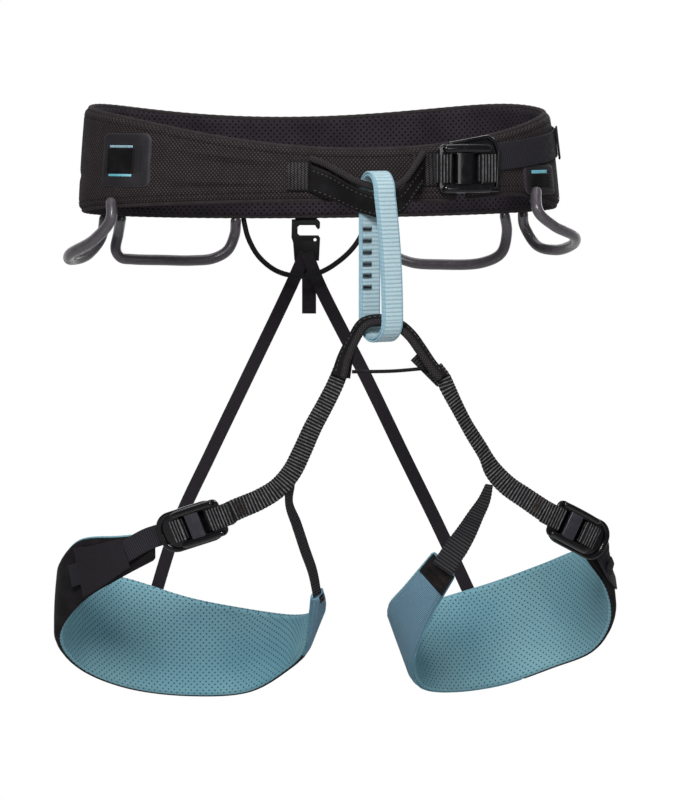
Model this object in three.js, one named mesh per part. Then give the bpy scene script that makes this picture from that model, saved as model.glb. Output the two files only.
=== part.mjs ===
// A climbing harness: a padded waistbelt with gear loops, a tie-in strip and a buckle, the belay
// loop that hangs from it, and two leg loops joined by a bridge in front and elastic risers behind.
// Millimetres, +Z up, the wearer faces -Y, and the origin is the middle of the waistbelt's ring.

import * as THREE from 'three';

const GAP = 0.3;              // air between sewn or touching pieces
const DEGREE = Math.PI / 180;

// The waistbelt is a flattened ring, lower in front and flared downwards.
const BELT = {
  halfWidthLeft: 172.5,
  halfWidthRight: 169.5,
  halfDepth: 95,
  flare: 0.07,                // growth of the ring per millimetre downwards
  sideFlare: 0.05,            // and this much more at the wearer's left hip
  turn: 10 * DEGREE,          // the belt sits turned to the wearer's left by this much
  gapCentre: 36.3 * DEGREE,   // the wings meet here, under the waist buckle
  gapHalf: 1.4 * DEGREE,
  linerThickness: 1.2,
  foamThickness: 5.4,
  shellThickness: 1.2,
};
const BELT_OUTSIDE = BELT.foamThickness / 2 + GAP + BELT.shellThickness;

const TUBE_RADIUS = 4.0;      // moulded gear loops
const WEBBING = 1.6;          // thickness of woven webbing
const LEG_WEBBING_WIDTH = 16;
const WAIST_WEBBING_WIDTH = 20;
const ELASTIC_WIDTH = 10;
const PAD_THICKNESS = 7;

const COLOURS = {
  beltFabric: { color: 0x2b2624, roughness: 0.85, metalness: 0 },
  liner: { color: 0x1d1a1f, roughness: 0.9, metalness: 0 },
  foam: { color: 0x3a3a3c, roughness: 0.95, metalness: 0 },
  webbing: { color: 0x1b1b1d, roughness: 0.8, metalness: 0 },
  leather: { color: 0x141315, roughness: 0.7, metalness: 0 },
  belay: { color: 0x9fc6d2, roughness: 0.75, metalness: 0 },
  padTeal: { color: 0x6d9fae, roughness: 0.85, metalness: 0 },
  tube: { color: 0x64606a, roughness: 0.45, metalness: 0 },
  anodised: { color: 0x111113, roughness: 0.25, metalness: 0.9 },
  hook: { color: 0x18181a, roughness: 0.5, metalness: 0 },
};

const harness = new THREE.Group();
harness.name = 'climbing_harness';

function add(parent, name, geometry, colour) {
  const mesh = new THREE.Mesh(geometry, new THREE.MeshStandardMaterial(COLOURS[colour]));
  mesh.name = name;
  parent.add(mesh);
  return mesh;
}

const vector = ([x, y, z]) => new THREE.Vector3(x, y, z);
const curveThrough = (points) => new THREE.CatmullRomCurve3(points.map(vector), false, 'centripetal');

// ---- Solids from rings ----

// Joins rings of points into one closed solid: capped at both ends, or closed on itself.
function loft(rings, closed = false) {
  const size = rings[0].length;
  const positions = rings.flat().flatMap((p) => [p.x, p.y, p.z]);
  const index = [];
  const spans = closed ? rings.length : rings.length - 1;
  for (let i = 0; i < spans; i += 1) {
    const here = i * size;
    const next = ((i + 1) % rings.length) * size;
    for (let j = 0; j < size; j += 1) {
      const k = (j + 1) % size;
      index.push(...quad(positions, here + j, next + j, next + k, here + k));
    }
  }
  if (!closed) {
    const last = (rings.length - 1) * size;
    for (let j = 1; j < size - 1; j += 1) {
      index.push(0, j, j + 1, last, last + j + 1, last + j);
    }
  }
  const geometry = new THREE.BufferGeometry();
  geometry.setAttribute('position', new THREE.Float32BufferAttribute(positions, 3));
  geometry.setIndex(signedVolume(positions, index) < 0 ? index.reverse() : index);
  geometry.computeVertexNormals();
  return geometry;
}

// Two triangles split along the shorter diagonal, so that parallel layers fold alike.
function quad(positions, a, b, c, d) {
  const corner = (i) => new THREE.Vector3().fromArray(positions, i * 3);
  const folded = corner(a).distanceTo(corner(c)) <= corner(b).distanceTo(corner(d));
  return folded ? [a, b, c, a, c, d] : [a, b, d, b, c, d];
}

function signedVolume(positions, index) {
  const corner = (i) => new THREE.Vector3().fromArray(positions, index[i] * 3);
  let sum = 0;
  for (let i = 0; i < index.length; i += 3) {
    sum += corner(i).dot(corner(i + 1).cross(corner(i + 2)));
  }
  return sum / 6;
}

// One layer of a sheet between two edges. edge(t, side) is the edge point at t, with side 0 the
// bottom edge and 1 the top edge; the layer lies from inner to outer along the outward normal.
function sheetLayer({ edge, steps, inner, outer, crown = 0 }) {
  const rings = [];
  for (let i = 0; i <= steps; i += 1) {
    const t = i / steps;
    const bottom = edge(t, 0);
    const top = edge(t, 1);
    const before = edge(Math.max(t - 0.002, 0), 0.5);
    const after = edge(Math.min(t + 0.002, 1), 0.5);
    const across = top.clone().sub(bottom);
    const normal = after.sub(before).cross(across).normalize();
    const middle = top.clone().lerp(bottom, 0.5);
    const at = (point, offset) => point.clone().addScaledVector(normal, offset);
    rings.push([
      at(bottom, inner), at(bottom, outer), at(middle, outer + crown),
      at(top, outer), at(top, inner), at(middle, inner + crown),
    ]);
  }
  return loft(rings);
}

// A flat strap along a route. facing holds, for each point of the route, the way its face looks;
// width is a number, or a function of the share of the route.
function strap({ route, facing, width, thickness = WEBBING, steps = 14 }) {
  const path = curveThrough(route);
  const faces = Array.isArray(facing[0]) ? curveThrough(facing) : null;
  const rings = [];
  for (let i = 0; i <= steps; i += 1) {
    const t = i / steps;
    const look = faces ? faces.getPoint(t) : vector(facing);
    const side = path.getTangent(t).cross(look).normalize();
    const normal = side.clone().cross(path.getTangent(t)).normalize();
    const breadth = typeof width === 'function' ? width(t) : width;
    rings.push(rectangleAt(path.getPoint(t), side, normal, breadth, thickness));
  }
  return loft(rings);
}

function rectangleAt(centre, side, normal, width, thickness) {
  return [[-1, -1], [1, -1], [1, 1], [-1, 1]].map(([a, b]) => centre.clone()
    .addScaledVector(side, (a * width) / 2)
    .addScaledVector(normal, (b * thickness) / 2));
}

// A round tube or roll along a route.
function tube(route, radius, steps, sides = 8) {
  const section = new THREE.Shape();
  for (let i = 0; i < sides; i += 1) {
    const angle = (i / sides) * 2 * Math.PI;
    const put = i === 0 ? 'moveTo' : 'lineTo';
    section[put](radius * Math.cos(angle), radius * Math.sin(angle));
  }
  section.closePath();
  return new THREE.ExtrudeGeometry(section, { extrudePath: curveThrough(route), steps });
}

// A flat plate of a shape, from z = low up to low + thickness in its own frame.
function plate(shape, low, thickness) {
  const geometry = new THREE.ExtrudeGeometry(shape, {
    depth: thickness, bevelEnabled: false, curveSegments: 3,
  });
  return geometry.translate(0, 0, low);
}

function roundedBox(ShapeClass, left, bottom, right, top, radius) {
  const shape = new ShapeClass();
  shape.moveTo(left + radius, bottom);
  shape.lineTo(right - radius, bottom);
  shape.quadraticCurveTo(right, bottom, right, bottom + radius);
  shape.lineTo(right, top - radius);
  shape.quadraticCurveTo(right, top, right - radius, top);
  shape.lineTo(left + radius, top);
  shape.quadraticCurveTo(left, top, left, top - radius);
  shape.lineTo(left, bottom + radius);
  shape.quadraticCurveTo(left, bottom, left + radius, bottom);
  return shape;
}

function polygon(corners) {
  return new THREE.Shape(corners.map(([x, y]) => new THREE.Vector2(x, y)));
}

// ---- The waistbelt ----

// Height of the belt's lower or upper edge: high at the sides, low in front.
function beltEdge(angle, side) {
  const c = Math.cos(angle - BELT.turn);
  if (side === 1) return 40 - 10.5 * c - 21.5 * c * c - 3.8 * Math.exp(-5 * c * c);
  const lift = (angle - 56 * DEGREE) / (17 * DEGREE);
  return -36 + 9.25 * c + 6 * Math.exp(-lift * lift);
}

const beltHalfWidth = (angle) => (Math.sin(angle) < 0 ? BELT.halfWidthLeft : BELT.halfWidthRight);
const beltFlare = (angle) => BELT.flare + BELT.sideFlare * Math.max(0, Math.sin(angle)) ** 3;

// Outward direction of the ring at an angle from the front, turning towards +X.
function beltNormal(angle) {
  const across = Math.sin(angle) / beltHalfWidth(angle);
  return new THREE.Vector3(across, -Math.cos(angle) / BELT.halfDepth, 0).normalize();
}

function beltAt(angle, z, offset = 0) {
  const grow = -z * beltFlare(angle);
  const point = new THREE.Vector3(
    (beltHalfWidth(angle) + grow) * Math.sin(angle),
    -(BELT.halfDepth + grow) * Math.cos(angle),
    z,
  );
  return point.addScaledVector(beltNormal(angle), offset);
}

// The belt's full height between two angles.
function beltBand(from, to) {
  return (t, side) => {
    const angle = from + (to - from) * t;
    const low = beltEdge(angle, 0);
    return beltAt(angle, low + (beltEdge(angle, 1) - low) * side);
  };
}

// A patch on the belt between two angles and two heights.
const beltPatch = (from, to, low, high) => (t, side) => (
  beltAt(from + (to - from) * t, low + (high - low) * side)
);

const belt = new THREE.Group();
harness.add(belt);

const ringStart = BELT.gapCentre + BELT.gapHalf;
const ringEnd = BELT.gapCentre - BELT.gapHalf + 2 * Math.PI;
const foamHalf = BELT.foamThickness / 2;
const beltLayers = [
  ['waist_liner', 'liner', -foamHalf - GAP - BELT.linerThickness, -foamHalf - GAP],
  ['waist_foam', 'foam', -foamHalf, foamHalf],
  ['waist_shell', 'beltFabric', foamHalf + GAP, BELT_OUTSIDE],
];
for (const [name, colour, inner, outer] of beltLayers) {
  const edge = beltBand(ringStart, ringEnd);
  add(belt, name, sheetLayer({ edge, steps: 44, inner, outer }), colour);
}

// Sewn patches that hold the tie-in strip's ends and the gear loops' front ends.
const patchInner = BELT_OUTSIDE + GAP;
function addPatch(name, colour, fromDegrees, toDegrees, low, high) {
  const edge = beltPatch(fromDegrees * DEGREE, toDegrees * DEGREE, low, high);
  const layer = { edge, steps: 5, inner: patchInner, outer: patchInner + 1.3 };
  add(belt, name, sheetLayer(layer), colour);
}
addPatch('tie_in_anchor_left', 'webbing', -7.6, -3, -21, 1);
addPatch('tie_in_anchor_right', 'webbing', 26.6, 30.6, -20, 6);
addPatch('ice_clip_patch_front_left', 'leather', -63.5, -43.8, -19, 20);
addPatch('ice_clip_patch_front_right', 'leather', 61, 79, -25, -7);
addPatch('ice_clip_patch_rear_left', 'leather', -118, -104, -24, 10);
addPatch('ice_clip_patch_rear_right', 'leather', 122, 136, -24, 10);

// ---- Tie-in strip: a reinforced loop that stands off the belt, with a rolled upper edge ----

const tieInTop = curveThrough([
  [-8, -102.6, -1], [7, -107, -7], [22, -113, -15.5], [39, -118, -21.5],
  [55, -116, -21], [66, -107, -9], [74.5, -94.4, 3],
]);
const tieInBottom = curveThrough([
  [-8, -102.6, -21], [11, -107, -28], [27, -113, -35], [43, -118, -39],
  [58, -116.5, -36], [67, -108, -24], [74.5, -95.4, -13],
]);
const tieInEdge = (t, side) => tieInBottom.getPoint(t).lerp(tieInTop.getPoint(t), side);
add(belt, 'tie_in_strip', sheetLayer({ edge: tieInEdge, steps: 16, inner: -1.1, outer: 1.1 }), 'leather');

const TIE_IN_ROLL_RADIUS = 2.4;
const tieInRollRoute = tieInTop.getPoints(8).map((p) => [p.x, p.y, p.z + TIE_IN_ROLL_RADIUS + 1.7]);
add(belt, 'tie_in_roll', tube(tieInRollRoute, TIE_IN_ROLL_RADIUS, 18), 'webbing');

// ---- Buckles: a slotted front plate over a backing plate, with webbing round its two bars ----

// Shape of the slotted plate along the strap (x) and across it (y), for a plate of unit scale.
const BUCKLE = {
  plateThickness: 2.4,
  backThickness: 1.6,
  left: -21.5,
  right: 22,
  leftSlot: [-14, -8],
  rightSlot: [3.5, 11.5],
  wrapThickness: 1.3,
  wrapEnd: 25,
};

function slottedPlate(scale, halfHeight, strapWidth) {
  const [left, right] = [BUCKLE.left * scale, BUCKLE.right * scale];
  const outline = roundedBox(THREE.Shape, left, -halfHeight, right, halfHeight, 5);
  const slotHalf = strapWidth / 2 + 0.8;
  for (const [from, to] of [BUCKLE.leftSlot, BUCKLE.rightSlot]) {
    outline.holes.push(roundedBox(THREE.Path, from * scale, -slotHalf, to * scale, slotHalf, 1));
  }
  return plate(outline, 0, BUCKLE.plateThickness);
}

// Webbing that passes behind a bar, up through its slot and back over its face.
function barWrap(slotEdge, end, strapWidth) {
  const reach = Math.sign(slotEdge - end);
  const clear = BUCKLE.wrapThickness / 2 + 0.4;
  const turn = slotEdge + reach * clear;
  const back = -clear;
  const front = BUCKLE.plateThickness + clear;
  const route = [
    [end, 0, back], [slotEdge - reach * 2, 0, back], [slotEdge + reach * 0.3, 0, back - 0.05],
    [turn, 0, BUCKLE.plateThickness / 2],
    [slotEdge + reach * 0.3, 0, front + 0.05], [slotEdge - reach * 2, 0, front], [end, 0, front],
  ].map(vector);
  const path = new THREE.CatmullRomCurve3(route, false, 'centripetal');
  const side = new THREE.Vector3(0, 1, 0);
  const rings = [];
  const steps = 14;
  for (let i = 0; i <= steps; i += 1) {
    const normal = path.getTangent(i / steps).cross(side).normalize();
    rings.push(rectangleAt(path.getPoint(i / steps), side, normal, strapWidth, BUCKLE.wrapThickness));
  }
  return loft(rings);
}

// frame: origin of the front plate's underside, along (x) the strap and outward (z).
function addBuckle(prefix, frame, scale, halfHeight, strapWidth, backShape) {
  const up = frame.outward.clone().cross(frame.along).normalize();
  const group = new THREE.Group();
  group.quaternion.setFromRotationMatrix(new THREE.Matrix4().makeBasis(frame.along, up, frame.outward));
  group.position.copy(frame.origin);
  harness.add(group);
  const backLow = -BUCKLE.wrapThickness - 1 - BUCKLE.backThickness;
  add(group, `${prefix}_back_plate`, plate(backShape, backLow, BUCKLE.backThickness), 'anodised');
  add(group, `${prefix}_front_plate`, slottedPlate(scale, halfHeight, strapWidth), 'anodised');
  const leftWrap = barWrap(BUCKLE.leftSlot[0] * scale, -BUCKLE.wrapEnd * scale, strapWidth);
  const rightWrap = barWrap(BUCKLE.rightSlot[1] * scale, BUCKLE.wrapEnd * scale, strapWidth);
  add(group, `${prefix}_wrap_left`, leftWrap, 'webbing');
  add(group, `${prefix}_wrap_right`, rightWrap, 'webbing');
}

const waistBuckleZ = -5;
const waistBuckleOutward = beltNormal(BELT.gapCentre);
const waistBuckleFrame = {
  origin: beltAt(BELT.gapCentre, waistBuckleZ, BELT_OUTSIDE + 5.6),
  outward: waistBuckleOutward,
  along: new THREE.Vector3(0, 0, 1).cross(waistBuckleOutward).normalize(),
};
const waistBack = polygon([[-12, -17], [27, -17], [28, 12], [25, 20], [19, 24], [-12, 19]]);
addBuckle('waist_buckle', waistBuckleFrame, 1, 18.5, WAIST_WEBBING_WIDTH, waistBack);

// ---- Waist strap tail and its keeper, round the wearer's left hip ----

const tailOffset = BELT_OUTSIDE + 3 * GAP + WEBBING / 2;
const tailStart = 47.6;       // degrees round the belt, where the tail leaves the buckle
const tailStartHeight = 2.8;
const tailRise = 0.247;       // millimetres upwards per degree round the belt
function beltStrapRoute(fromDegrees, toDegrees, offset, count) {
  const route = [];
  const facing = [];
  for (let i = 0; i < count; i += 1) {
    const degrees = fromDegrees + ((toDegrees - fromDegrees) * i) / (count - 1);
    const z = tailStartHeight + (degrees - tailStart) * tailRise;
    route.push(beltAt(degrees * DEGREE, z, offset).toArray());
    const outward = beltNormal(degrees * DEGREE);
    facing.push([outward.x, outward.y, beltFlare(degrees * DEGREE)]);
  }
  return { route, facing };
}
const tailRun = beltStrapRoute(tailStart, 100, tailOffset, 8);
add(belt, 'waist_tail_strap', strap({ ...tailRun, width: WAIST_WEBBING_WIDTH, steps: 18 }), 'webbing');
const keeperRun = beltStrapRoute(84, 89, tailOffset + WEBBING + 0.4, 4);
add(belt, 'waist_strap_keeper', strap({ ...keeperRun, width: 24, thickness: 1.4, steps: 4 }), 'webbing');

// ---- Gear loops and haul loop ----

const gearLoopRoutes = {
  gear_loop_front_left: [
    [-153.5, -61, -24], [-154.5, -58, -45], [-164, -46, -59], [-184, -17, -70],
    [-186, 13, -75], [-175, 38, -72], [-166, 48, -60], [-161.5, 50, -28],
  ],
  gear_loop_front_right: [
    [154, -59, -26], [158, -58, -36], [170, -45, -47], [187, -16, -56],
    [188, 16, -64], [177, 42, -69], [164, 56, -66], [155, 62, -52], [151, 64, -28],
  ],
  gear_loop_rear_left: [
    [-147, 67, -28], [-152, 68, -58], [-151, 71, -71], [-142, 76, -77], [-116, 86, -78],
    [-89, 97, -78], [-74, 102, -73], [-67, 103, -60], [-66, 102, -30],
  ],
  gear_loop_rear_right: [
    [138, 74, -28], [142, 74, -60], [137, 78, -77], [124, 83, -84], [92, 94, -86],
    [69, 102, -84], [55, 106, -76], [50, 107, -60], [49, 105, -30],
  ],
};
for (const [name, route] of Object.entries(gearLoopRoutes)) {
  add(harness, name, tube(route, TUBE_RADIUS, 20), 'tube');
}

const HAUL_RADIUS = 2;
const haulRoute = [
  [-60, 98, -46], [-56, 96.5, -62], [-48, 92, -76], [-36, 87, -86], [-25, 84.5, -90],
  [-12, 84, -91], [2, 84.5, -87], [16, 88, -78], [26, 92.5, -68], [33, 96.5, -56], [36, 98, -46],
];
add(harness, 'haul_loop', tube(haulRoute, HAUL_RADIUS, 24), 'webbing');

// ---- Belay loop: two rings of webbing, one inside the other ----

const BELAY = {
  centre: new THREE.Vector3(43.5, -118, -66.7),
  length: 121,
  strandGap: 28.5,
  width: 16,
  turn: 27 * DEGREE,
  layer: 1.6,
};
const belayOut = new THREE.Vector3(Math.sin(BELAY.turn), -Math.cos(BELAY.turn), 0);
const belaySide = new THREE.Vector3(Math.cos(BELAY.turn), Math.sin(BELAY.turn), 0);

// A ring of two straight strands with round ends, of a given radius at its ends.
function belayRing(radius, thickness) {
  const half = BELAY.length / 2 - BELAY.strandGap / 2 - BELAY.layer;
  const rings = [];
  const turns = 10;
  for (const end of [1, -1]) {
    for (let i = 0; i <= turns; i += 1) {
      const angle = (i / turns) * Math.PI;
      const outward = new THREE.Vector3()
        .addScaledVector(belayOut, end * Math.cos(angle))
        .add(new THREE.Vector3(0, 0, end * Math.sin(angle)));
      const point = BELAY.centre.clone().addScaledVector(outward, radius);
      point.z += end * half;
      rings.push(rectangleAt(point, belaySide, outward, BELAY.width, thickness));
    }
  }
  return loft(rings, true);
}
const belayMiddle = BELAY.strandGap / 2;
const belayStep = (BELAY.layer + GAP) / 2;
add(harness, 'belay_loop_outer', belayRing(belayMiddle + belayStep, BELAY.layer), 'belay');
add(harness, 'belay_loop_inner', belayRing(belayMiddle - belayStep, BELAY.layer), 'belay');

// ---- Leg bridge: an arch through the belay loop, tied across below ----

const archLine = [
  [15, -152], [18.5, -138], [24, -125.5], [31.5, -114.3], [43.5, -112],
  [56, -115.5], [64.5, -122.5], [71.5, -132], [78.5, -142.5], [87, -153],
];
const archY = -116;
const archThickness = 2.6;
const archStrap = {
  route: archLine.map(([x, z]) => [x, archY, z]),
  facing: [0, -1, 0],
  width: (t) => 9 + 5 * Math.max(0, 1 - 4 * t),
  thickness: archThickness,
  steps: 20,
};
add(harness, 'leg_bridge_arch', strap(archStrap), 'leather');

const BRIDGE_ROLL_RADIUS = 2.6;
const bridgeRollY = archY - archThickness / 2 - BRIDGE_ROLL_RADIUS - GAP;
const bridgeRollDrop = 1.2;
const bridgeRollRoute = archLine.map(([x, z]) => {
  const inset = x < 43 ? 1.5 : -1;
  return [x + inset, bridgeRollY, z - bridgeRollDrop];
});
add(harness, 'leg_bridge_roll', tube(bridgeRollRoute, BRIDGE_ROLL_RADIUS, 20), 'webbing');

const crossY = -112;
const crossRoute = [[23, crossY, -149], [52, crossY, -148.5], [76, crossY, -146.5]];
const crossStrap = { route: crossRoute, facing: [0, 0, 1], width: 4.5, thickness: 2.4, steps: 6 };
add(harness, 'leg_bridge_cross_strap', strap(crossStrap), 'webbing');

const tabY = -108;
const tabRoute = [[68, tabY, -138], [77, tabY, -147], [87, tabY, -157]];
const tabStrap = { route: tabRoute, facing: [0, -1, 0], width: 9, steps: 4 };
add(harness, 'leg_bridge_tab', strap(tabStrap), 'webbing');

// ---- Rear hook: a flat open hook under the belt, its tail and the two elastic risers ----

const HOOK_THICKNESS = 2.2;
const hookY = 102.4;
const rearTab = {
  route: [[-11.5, 104.8, -34], [-11.5, 105.4, -41], [-11.5, 105.1, -47.6]],
  facing: [0, 1, 0],
  width: 17,
  thickness: 1.2,
  steps: 4,
};
add(belt, 'rear_anchor_tab', strap(rearTab), 'webbing');

const hookShape = polygon([
  [-22.5, -48], [-2.5, -48], [-0.7, -50], [-0.7, -54.5], [-2, -56], [-3.5, -54.5], [-4.5, -52.6],
  [-16.5, -52.6], [-18, -54], [-18, -59], [-16.5, -60.4], [-2, -60.4], [-0.6, -62.4],
  [-1.5, -80], [-20.5, -80], [-21.5, -66], [-22.8, -62],
]);
hookShape.holes.push(new THREE.Path().absarc(-4.6, -63.8, 1.2, 0, 2 * Math.PI)); // eyelet
const hookMesh = add(harness, 'rear_hook', plate(hookShape, -HOOK_THICKNESS / 2, HOOK_THICKNESS), 'hook');
hookMesh.rotation.x = Math.PI / 2;
hookMesh.position.y = hookY;

const RISER_THICKNESS = 1.2;
const hookBack = hookY + HOOK_THICKNESS / 2 + GAP + WEBBING / 2;
const hookTail = {
  route: [[-9.2, hookBack, -72], [-9.2, hookBack, -96], [-9.2, hookBack, -121]],
  facing: [0, 1, 0],
  width: 11,
  steps: 6,
};
add(harness, 'rear_hook_tail', strap(hookTail), 'webbing');

const nearRiserY = hookY - HOOK_THICKNESS / 2 - GAP - RISER_THICKNESS / 2;
const farRiserY = nearRiserY - RISER_THICKNESS - 0.4;
const riserRoutes = {
  riser_left: [
    [-12, nearRiserY, -74], [-23, nearRiserY - 0.4, -99], [-58, 96, -172],
    [-85, 93, -228], [-111, 90, -284], [-132, 83.5, -350],
  ],
  riser_right: [
    [-11, farRiserY, -74], [-1, farRiserY, -99], [36, 96, -172],
    [63, 93, -228], [90, 90, -283], [120, 80.5, -347],
  ],
};
for (const [name, route] of Object.entries(riserRoutes)) {
  const riser = { route, facing: [0, -1, 0], width: ELASTIC_WIDTH, thickness: RISER_THICKNESS };
  add(harness, name, strap(riser), 'webbing');
}

// ---- Leg loops ----

// Each pad is a strip between two edges; stations run from its buckle end round the back of the
// thigh to its inner end. side is 1 where the strip's normal points away from the thigh, and -1
// where it points in.
const legs = {
  left: {
    side: -1,
    top: [
      [-120, -66.5, -271], [-145, -60, -274], [-177, -36, -280], [-193, -2, -303], [-182, 42, -314],
      [-150, 68, -323], [-101, 80, -340], [-55, 74, -348], [-21, 52, -349], [-5, 22, -342],
      [3, -13, -329], [1, -38, -315],
    ],
    bottom: [
      [-120, -66.5, -289], [-145, -60, -303], [-176, -36, -325], [-196, -4, -356], [-184, 44, -388],
      [-149, 72, -408], [-102, 84, -416], [-56, 78, -412], [-24, 54, -390], [-12, 18, -371],
      [-8, -16, -343], [-6, -42, -322],
    ],
    webbing: {
      route: [
        [10, -116, -160], [4, -114, -172], [-5, -112, -189], [-13, -109, -207],
        [-20, -107, -221], [-30, -105, -233], [-43, -103, -241.5], [-60, -101.5, -249],
      ],
      facing: [
        [0, -1, 0], [0, -1, 0], [0, -1, 0], [0, -1, 0],
        [0, -1, 0], [0, -1, 0], [-0.2, -1, 0], [-0.3, -1, -0.1],
      ],
    },
    inner: {
      route: [
        [-21.5, -103, -232], [-22, -95, -246], [-17, -82, -262], [-11, -65, -283],
        [-5.5, -52, -301], [-2.5, -43, -315.8],
      ],
      facing: [
        [0, -1, 0], [0.3, -1, 0], [0.5, -0.8, 0], [0.4, -0.9, 0], [0.5, -0.8, -0.2], [0.75, -0.4, -0.5],
      ],
      width: 9,
    },
    buckle: { origin: [-87, -93.5, -260], along: [0.85, -0.389, 0.32], outward: [-0.35, -0.92, -0.17] },
    tail: {
      route: [
        [-103.8, -79.4, -266.1], [-116.7, -73.4, -271.0], [-126.2, -71.8, -274.6],
        [-150, -69, -288.5], [-168, -57.5, -298], [-184, -41, -306],
      ],
      facing: [
        [-0.35, -0.92, -0.17], [-0.35, -0.92, -0.17], [-0.4, -0.9, -0.1],
        [-0.5, -0.85, 0], [-0.65, -0.75, 0], [-0.8, -0.6, 0],
      ],
    },
    sleeve: {
      route: [[-141.5, -76, -284], [-153, -71, -289.5], [-167, -62.2, -297], [-182.5, -47, -303]],
      facing: [[-0.5, -0.85, 0], [-0.55, -0.82, 0], [-0.65, -0.75, 0], [-0.75, -0.65, 0]],
      width: (t) => 19 + 9 * t,
    },
    patch: [0.972, 1],
  },
  right: {
    side: 1,
    top: [
      [194, -52, -272], [208, -20, -283], [210, 16, -292], [196, 52, -299], [170, 74, -313],
      [134, 78, -327], [98, 64, -336], [68, 38, -341], [54, 6, -339], [52, -26, -328],
      [63, -52, -311], [83, -76, -283],
    ],
    bottom: [
      [195, -52, -290], [214, -18, -320], [219, 18, -350], [207, 54, -377], [178, 76, -393],
      [142, 78, -406], [105, 62, -409], [78, 34, -402], [69, 0, -382], [73, -30, -359],
      [82, -52, -333], [98, -74, -300.5],
    ],
    webbing: {
      route: [
        [91.5, -116, -161], [97, -114, -172], [106, -112, -189], [117, -109, -207],
        [124, -107, -220], [134, -104.5, -231], [148, -101.5, -241], [160, -97.5, -249.5],
      ],
      facing: [
        [0.5, -0.9, 0], [0.7, -0.7, 0], [0.8, -0.6, 0], [0.8, -0.6, 0],
        [0.5, -0.85, 0], [0.2, -1, 0], [0.4, -0.9, 0], [0.5, -0.86, -0.08],
      ],
    },
    inner: {
      route: [[121.5, -103, -231], [118, -98, -243], [112, -92, -255], [105, -85, -269], [94, -80, -285.5]],
      facing: [[0.2, -1, 0], [0.1, -1, 0], [0, -1, -0.2], [-0.2, -1, -0.3], [-0.5, -0.9, -0.3]],
      width: 14,
    },
    buckle: { origin: [182.5, -84, -263.5], along: [0.76, 0.47, -0.45], outward: [0.5, -0.86, -0.08] },
    tail: {
      route: [
        [195.9, -69, -272.6], [204.2, -62, -280], [208.8, -52, -291],
        [214, -35, -304], [219.4, -14, -314], [221.3, -2, -319],
      ],
      facing: [
        [0.5, -0.86, -0.08], [0.55, -0.8, -0.1], [0.8, -0.6, 0],
        [0.9, -0.4, 0.1], [0.98, -0.2, 0.16], [1, -0.1, 0.16],
      ],
    },
    sleeve: {
      route: [[212, -50.8, -294], [214.9, -42.3, -300.5], [217.6, -32.8, -306.5]],
      facing: [[0.82, -0.55, 0], [0.87, -0.48, 0], [0.92, -0.38, 0]],
      width: 21,
    },
    patch: [0.965, 1],
  },
};

const LEG_BUCKLE_SCALE = 0.95;
const LEG_BUCKLE_HALF_HEIGHT = 14;

function addLeg(name, leg) {
  const prefix = `${name}_leg`;
  const top = curveThrough(leg.top);
  const bottom = curveThrough(leg.bottom);
  const edge = (t, side) => bottom.getPoint(t).lerp(top.getPoint(t), side);
  const half = PAD_THICKNESS / 2;
  const outward = (near, far) => (
    leg.side > 0 ? { inner: near, outer: far } : { inner: -far, outer: -near }
  );
  const crown = leg.side;
  const shell = { edge, steps: 26, crown, ...outward(GAP / 2, half) };
  const liner = { edge, steps: 26, crown, ...outward(-half, -GAP / 2) };
  add(harness, `${prefix}_pad_shell`, sheetLayer(shell), 'webbing');
  add(harness, `${prefix}_pad_liner`, sheetLayer(liner), 'padTeal');

  const [from, to] = leg.patch;
  const patchEdge = (t, side) => edge(from + (to - from) * t, 0.08 + 0.84 * side);
  const patchLow = half + crown * leg.side + GAP;
  const patch = { edge: patchEdge, steps: 4, ...outward(patchLow, patchLow + 1.2) };
  add(harness, `${prefix}_end_patch`, sheetLayer(patch), 'leather');

  const narrowed = (t) => LEG_WEBBING_WIDTH - 4.5 * (1 - t); // folded narrower towards the bridge
  const webbing = { ...leg.webbing, width: narrowed, steps: 22 };
  add(harness, `${prefix}_webbing`, strap(webbing), 'webbing');
  add(harness, `${prefix}_inner_strap`, strap({ ...leg.inner, steps: 12 }), 'webbing');
  const tail = { ...leg.tail, width: LEG_WEBBING_WIDTH, steps: 12 };
  add(harness, `${prefix}_tail_strap`, strap(tail), 'webbing');
  add(harness, `${prefix}_keeper_sleeve`, strap({ ...leg.sleeve, thickness: 1.2, steps: 6 }), 'leather');

  const along = vector(leg.buckle.along).normalize();
  const facing = vector(leg.buckle.outward);
  const frame = {
    origin: vector(leg.buckle.origin),
    along,
    outward: facing.addScaledVector(along, -facing.dot(along)).normalize(),
  };
  const [inside, outside] = leg.side < 0 ? [-36, 19] : [-19, 36];
  const back = roundedBox(THREE.Shape, inside, -16, outside, 14.5, 13);
  addBuckle(`${prefix}_buckle`, frame, LEG_BUCKLE_SCALE, LEG_BUCKLE_HALF_HEIGHT, LEG_WEBBING_WIDTH, back);
}

for (const [name, leg] of Object.entries(legs)) {
  addLeg(name, leg);
}

export default harness;
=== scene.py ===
import math

import bpy
import numpy as np
from mathutils import Matrix, Vector


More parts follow.
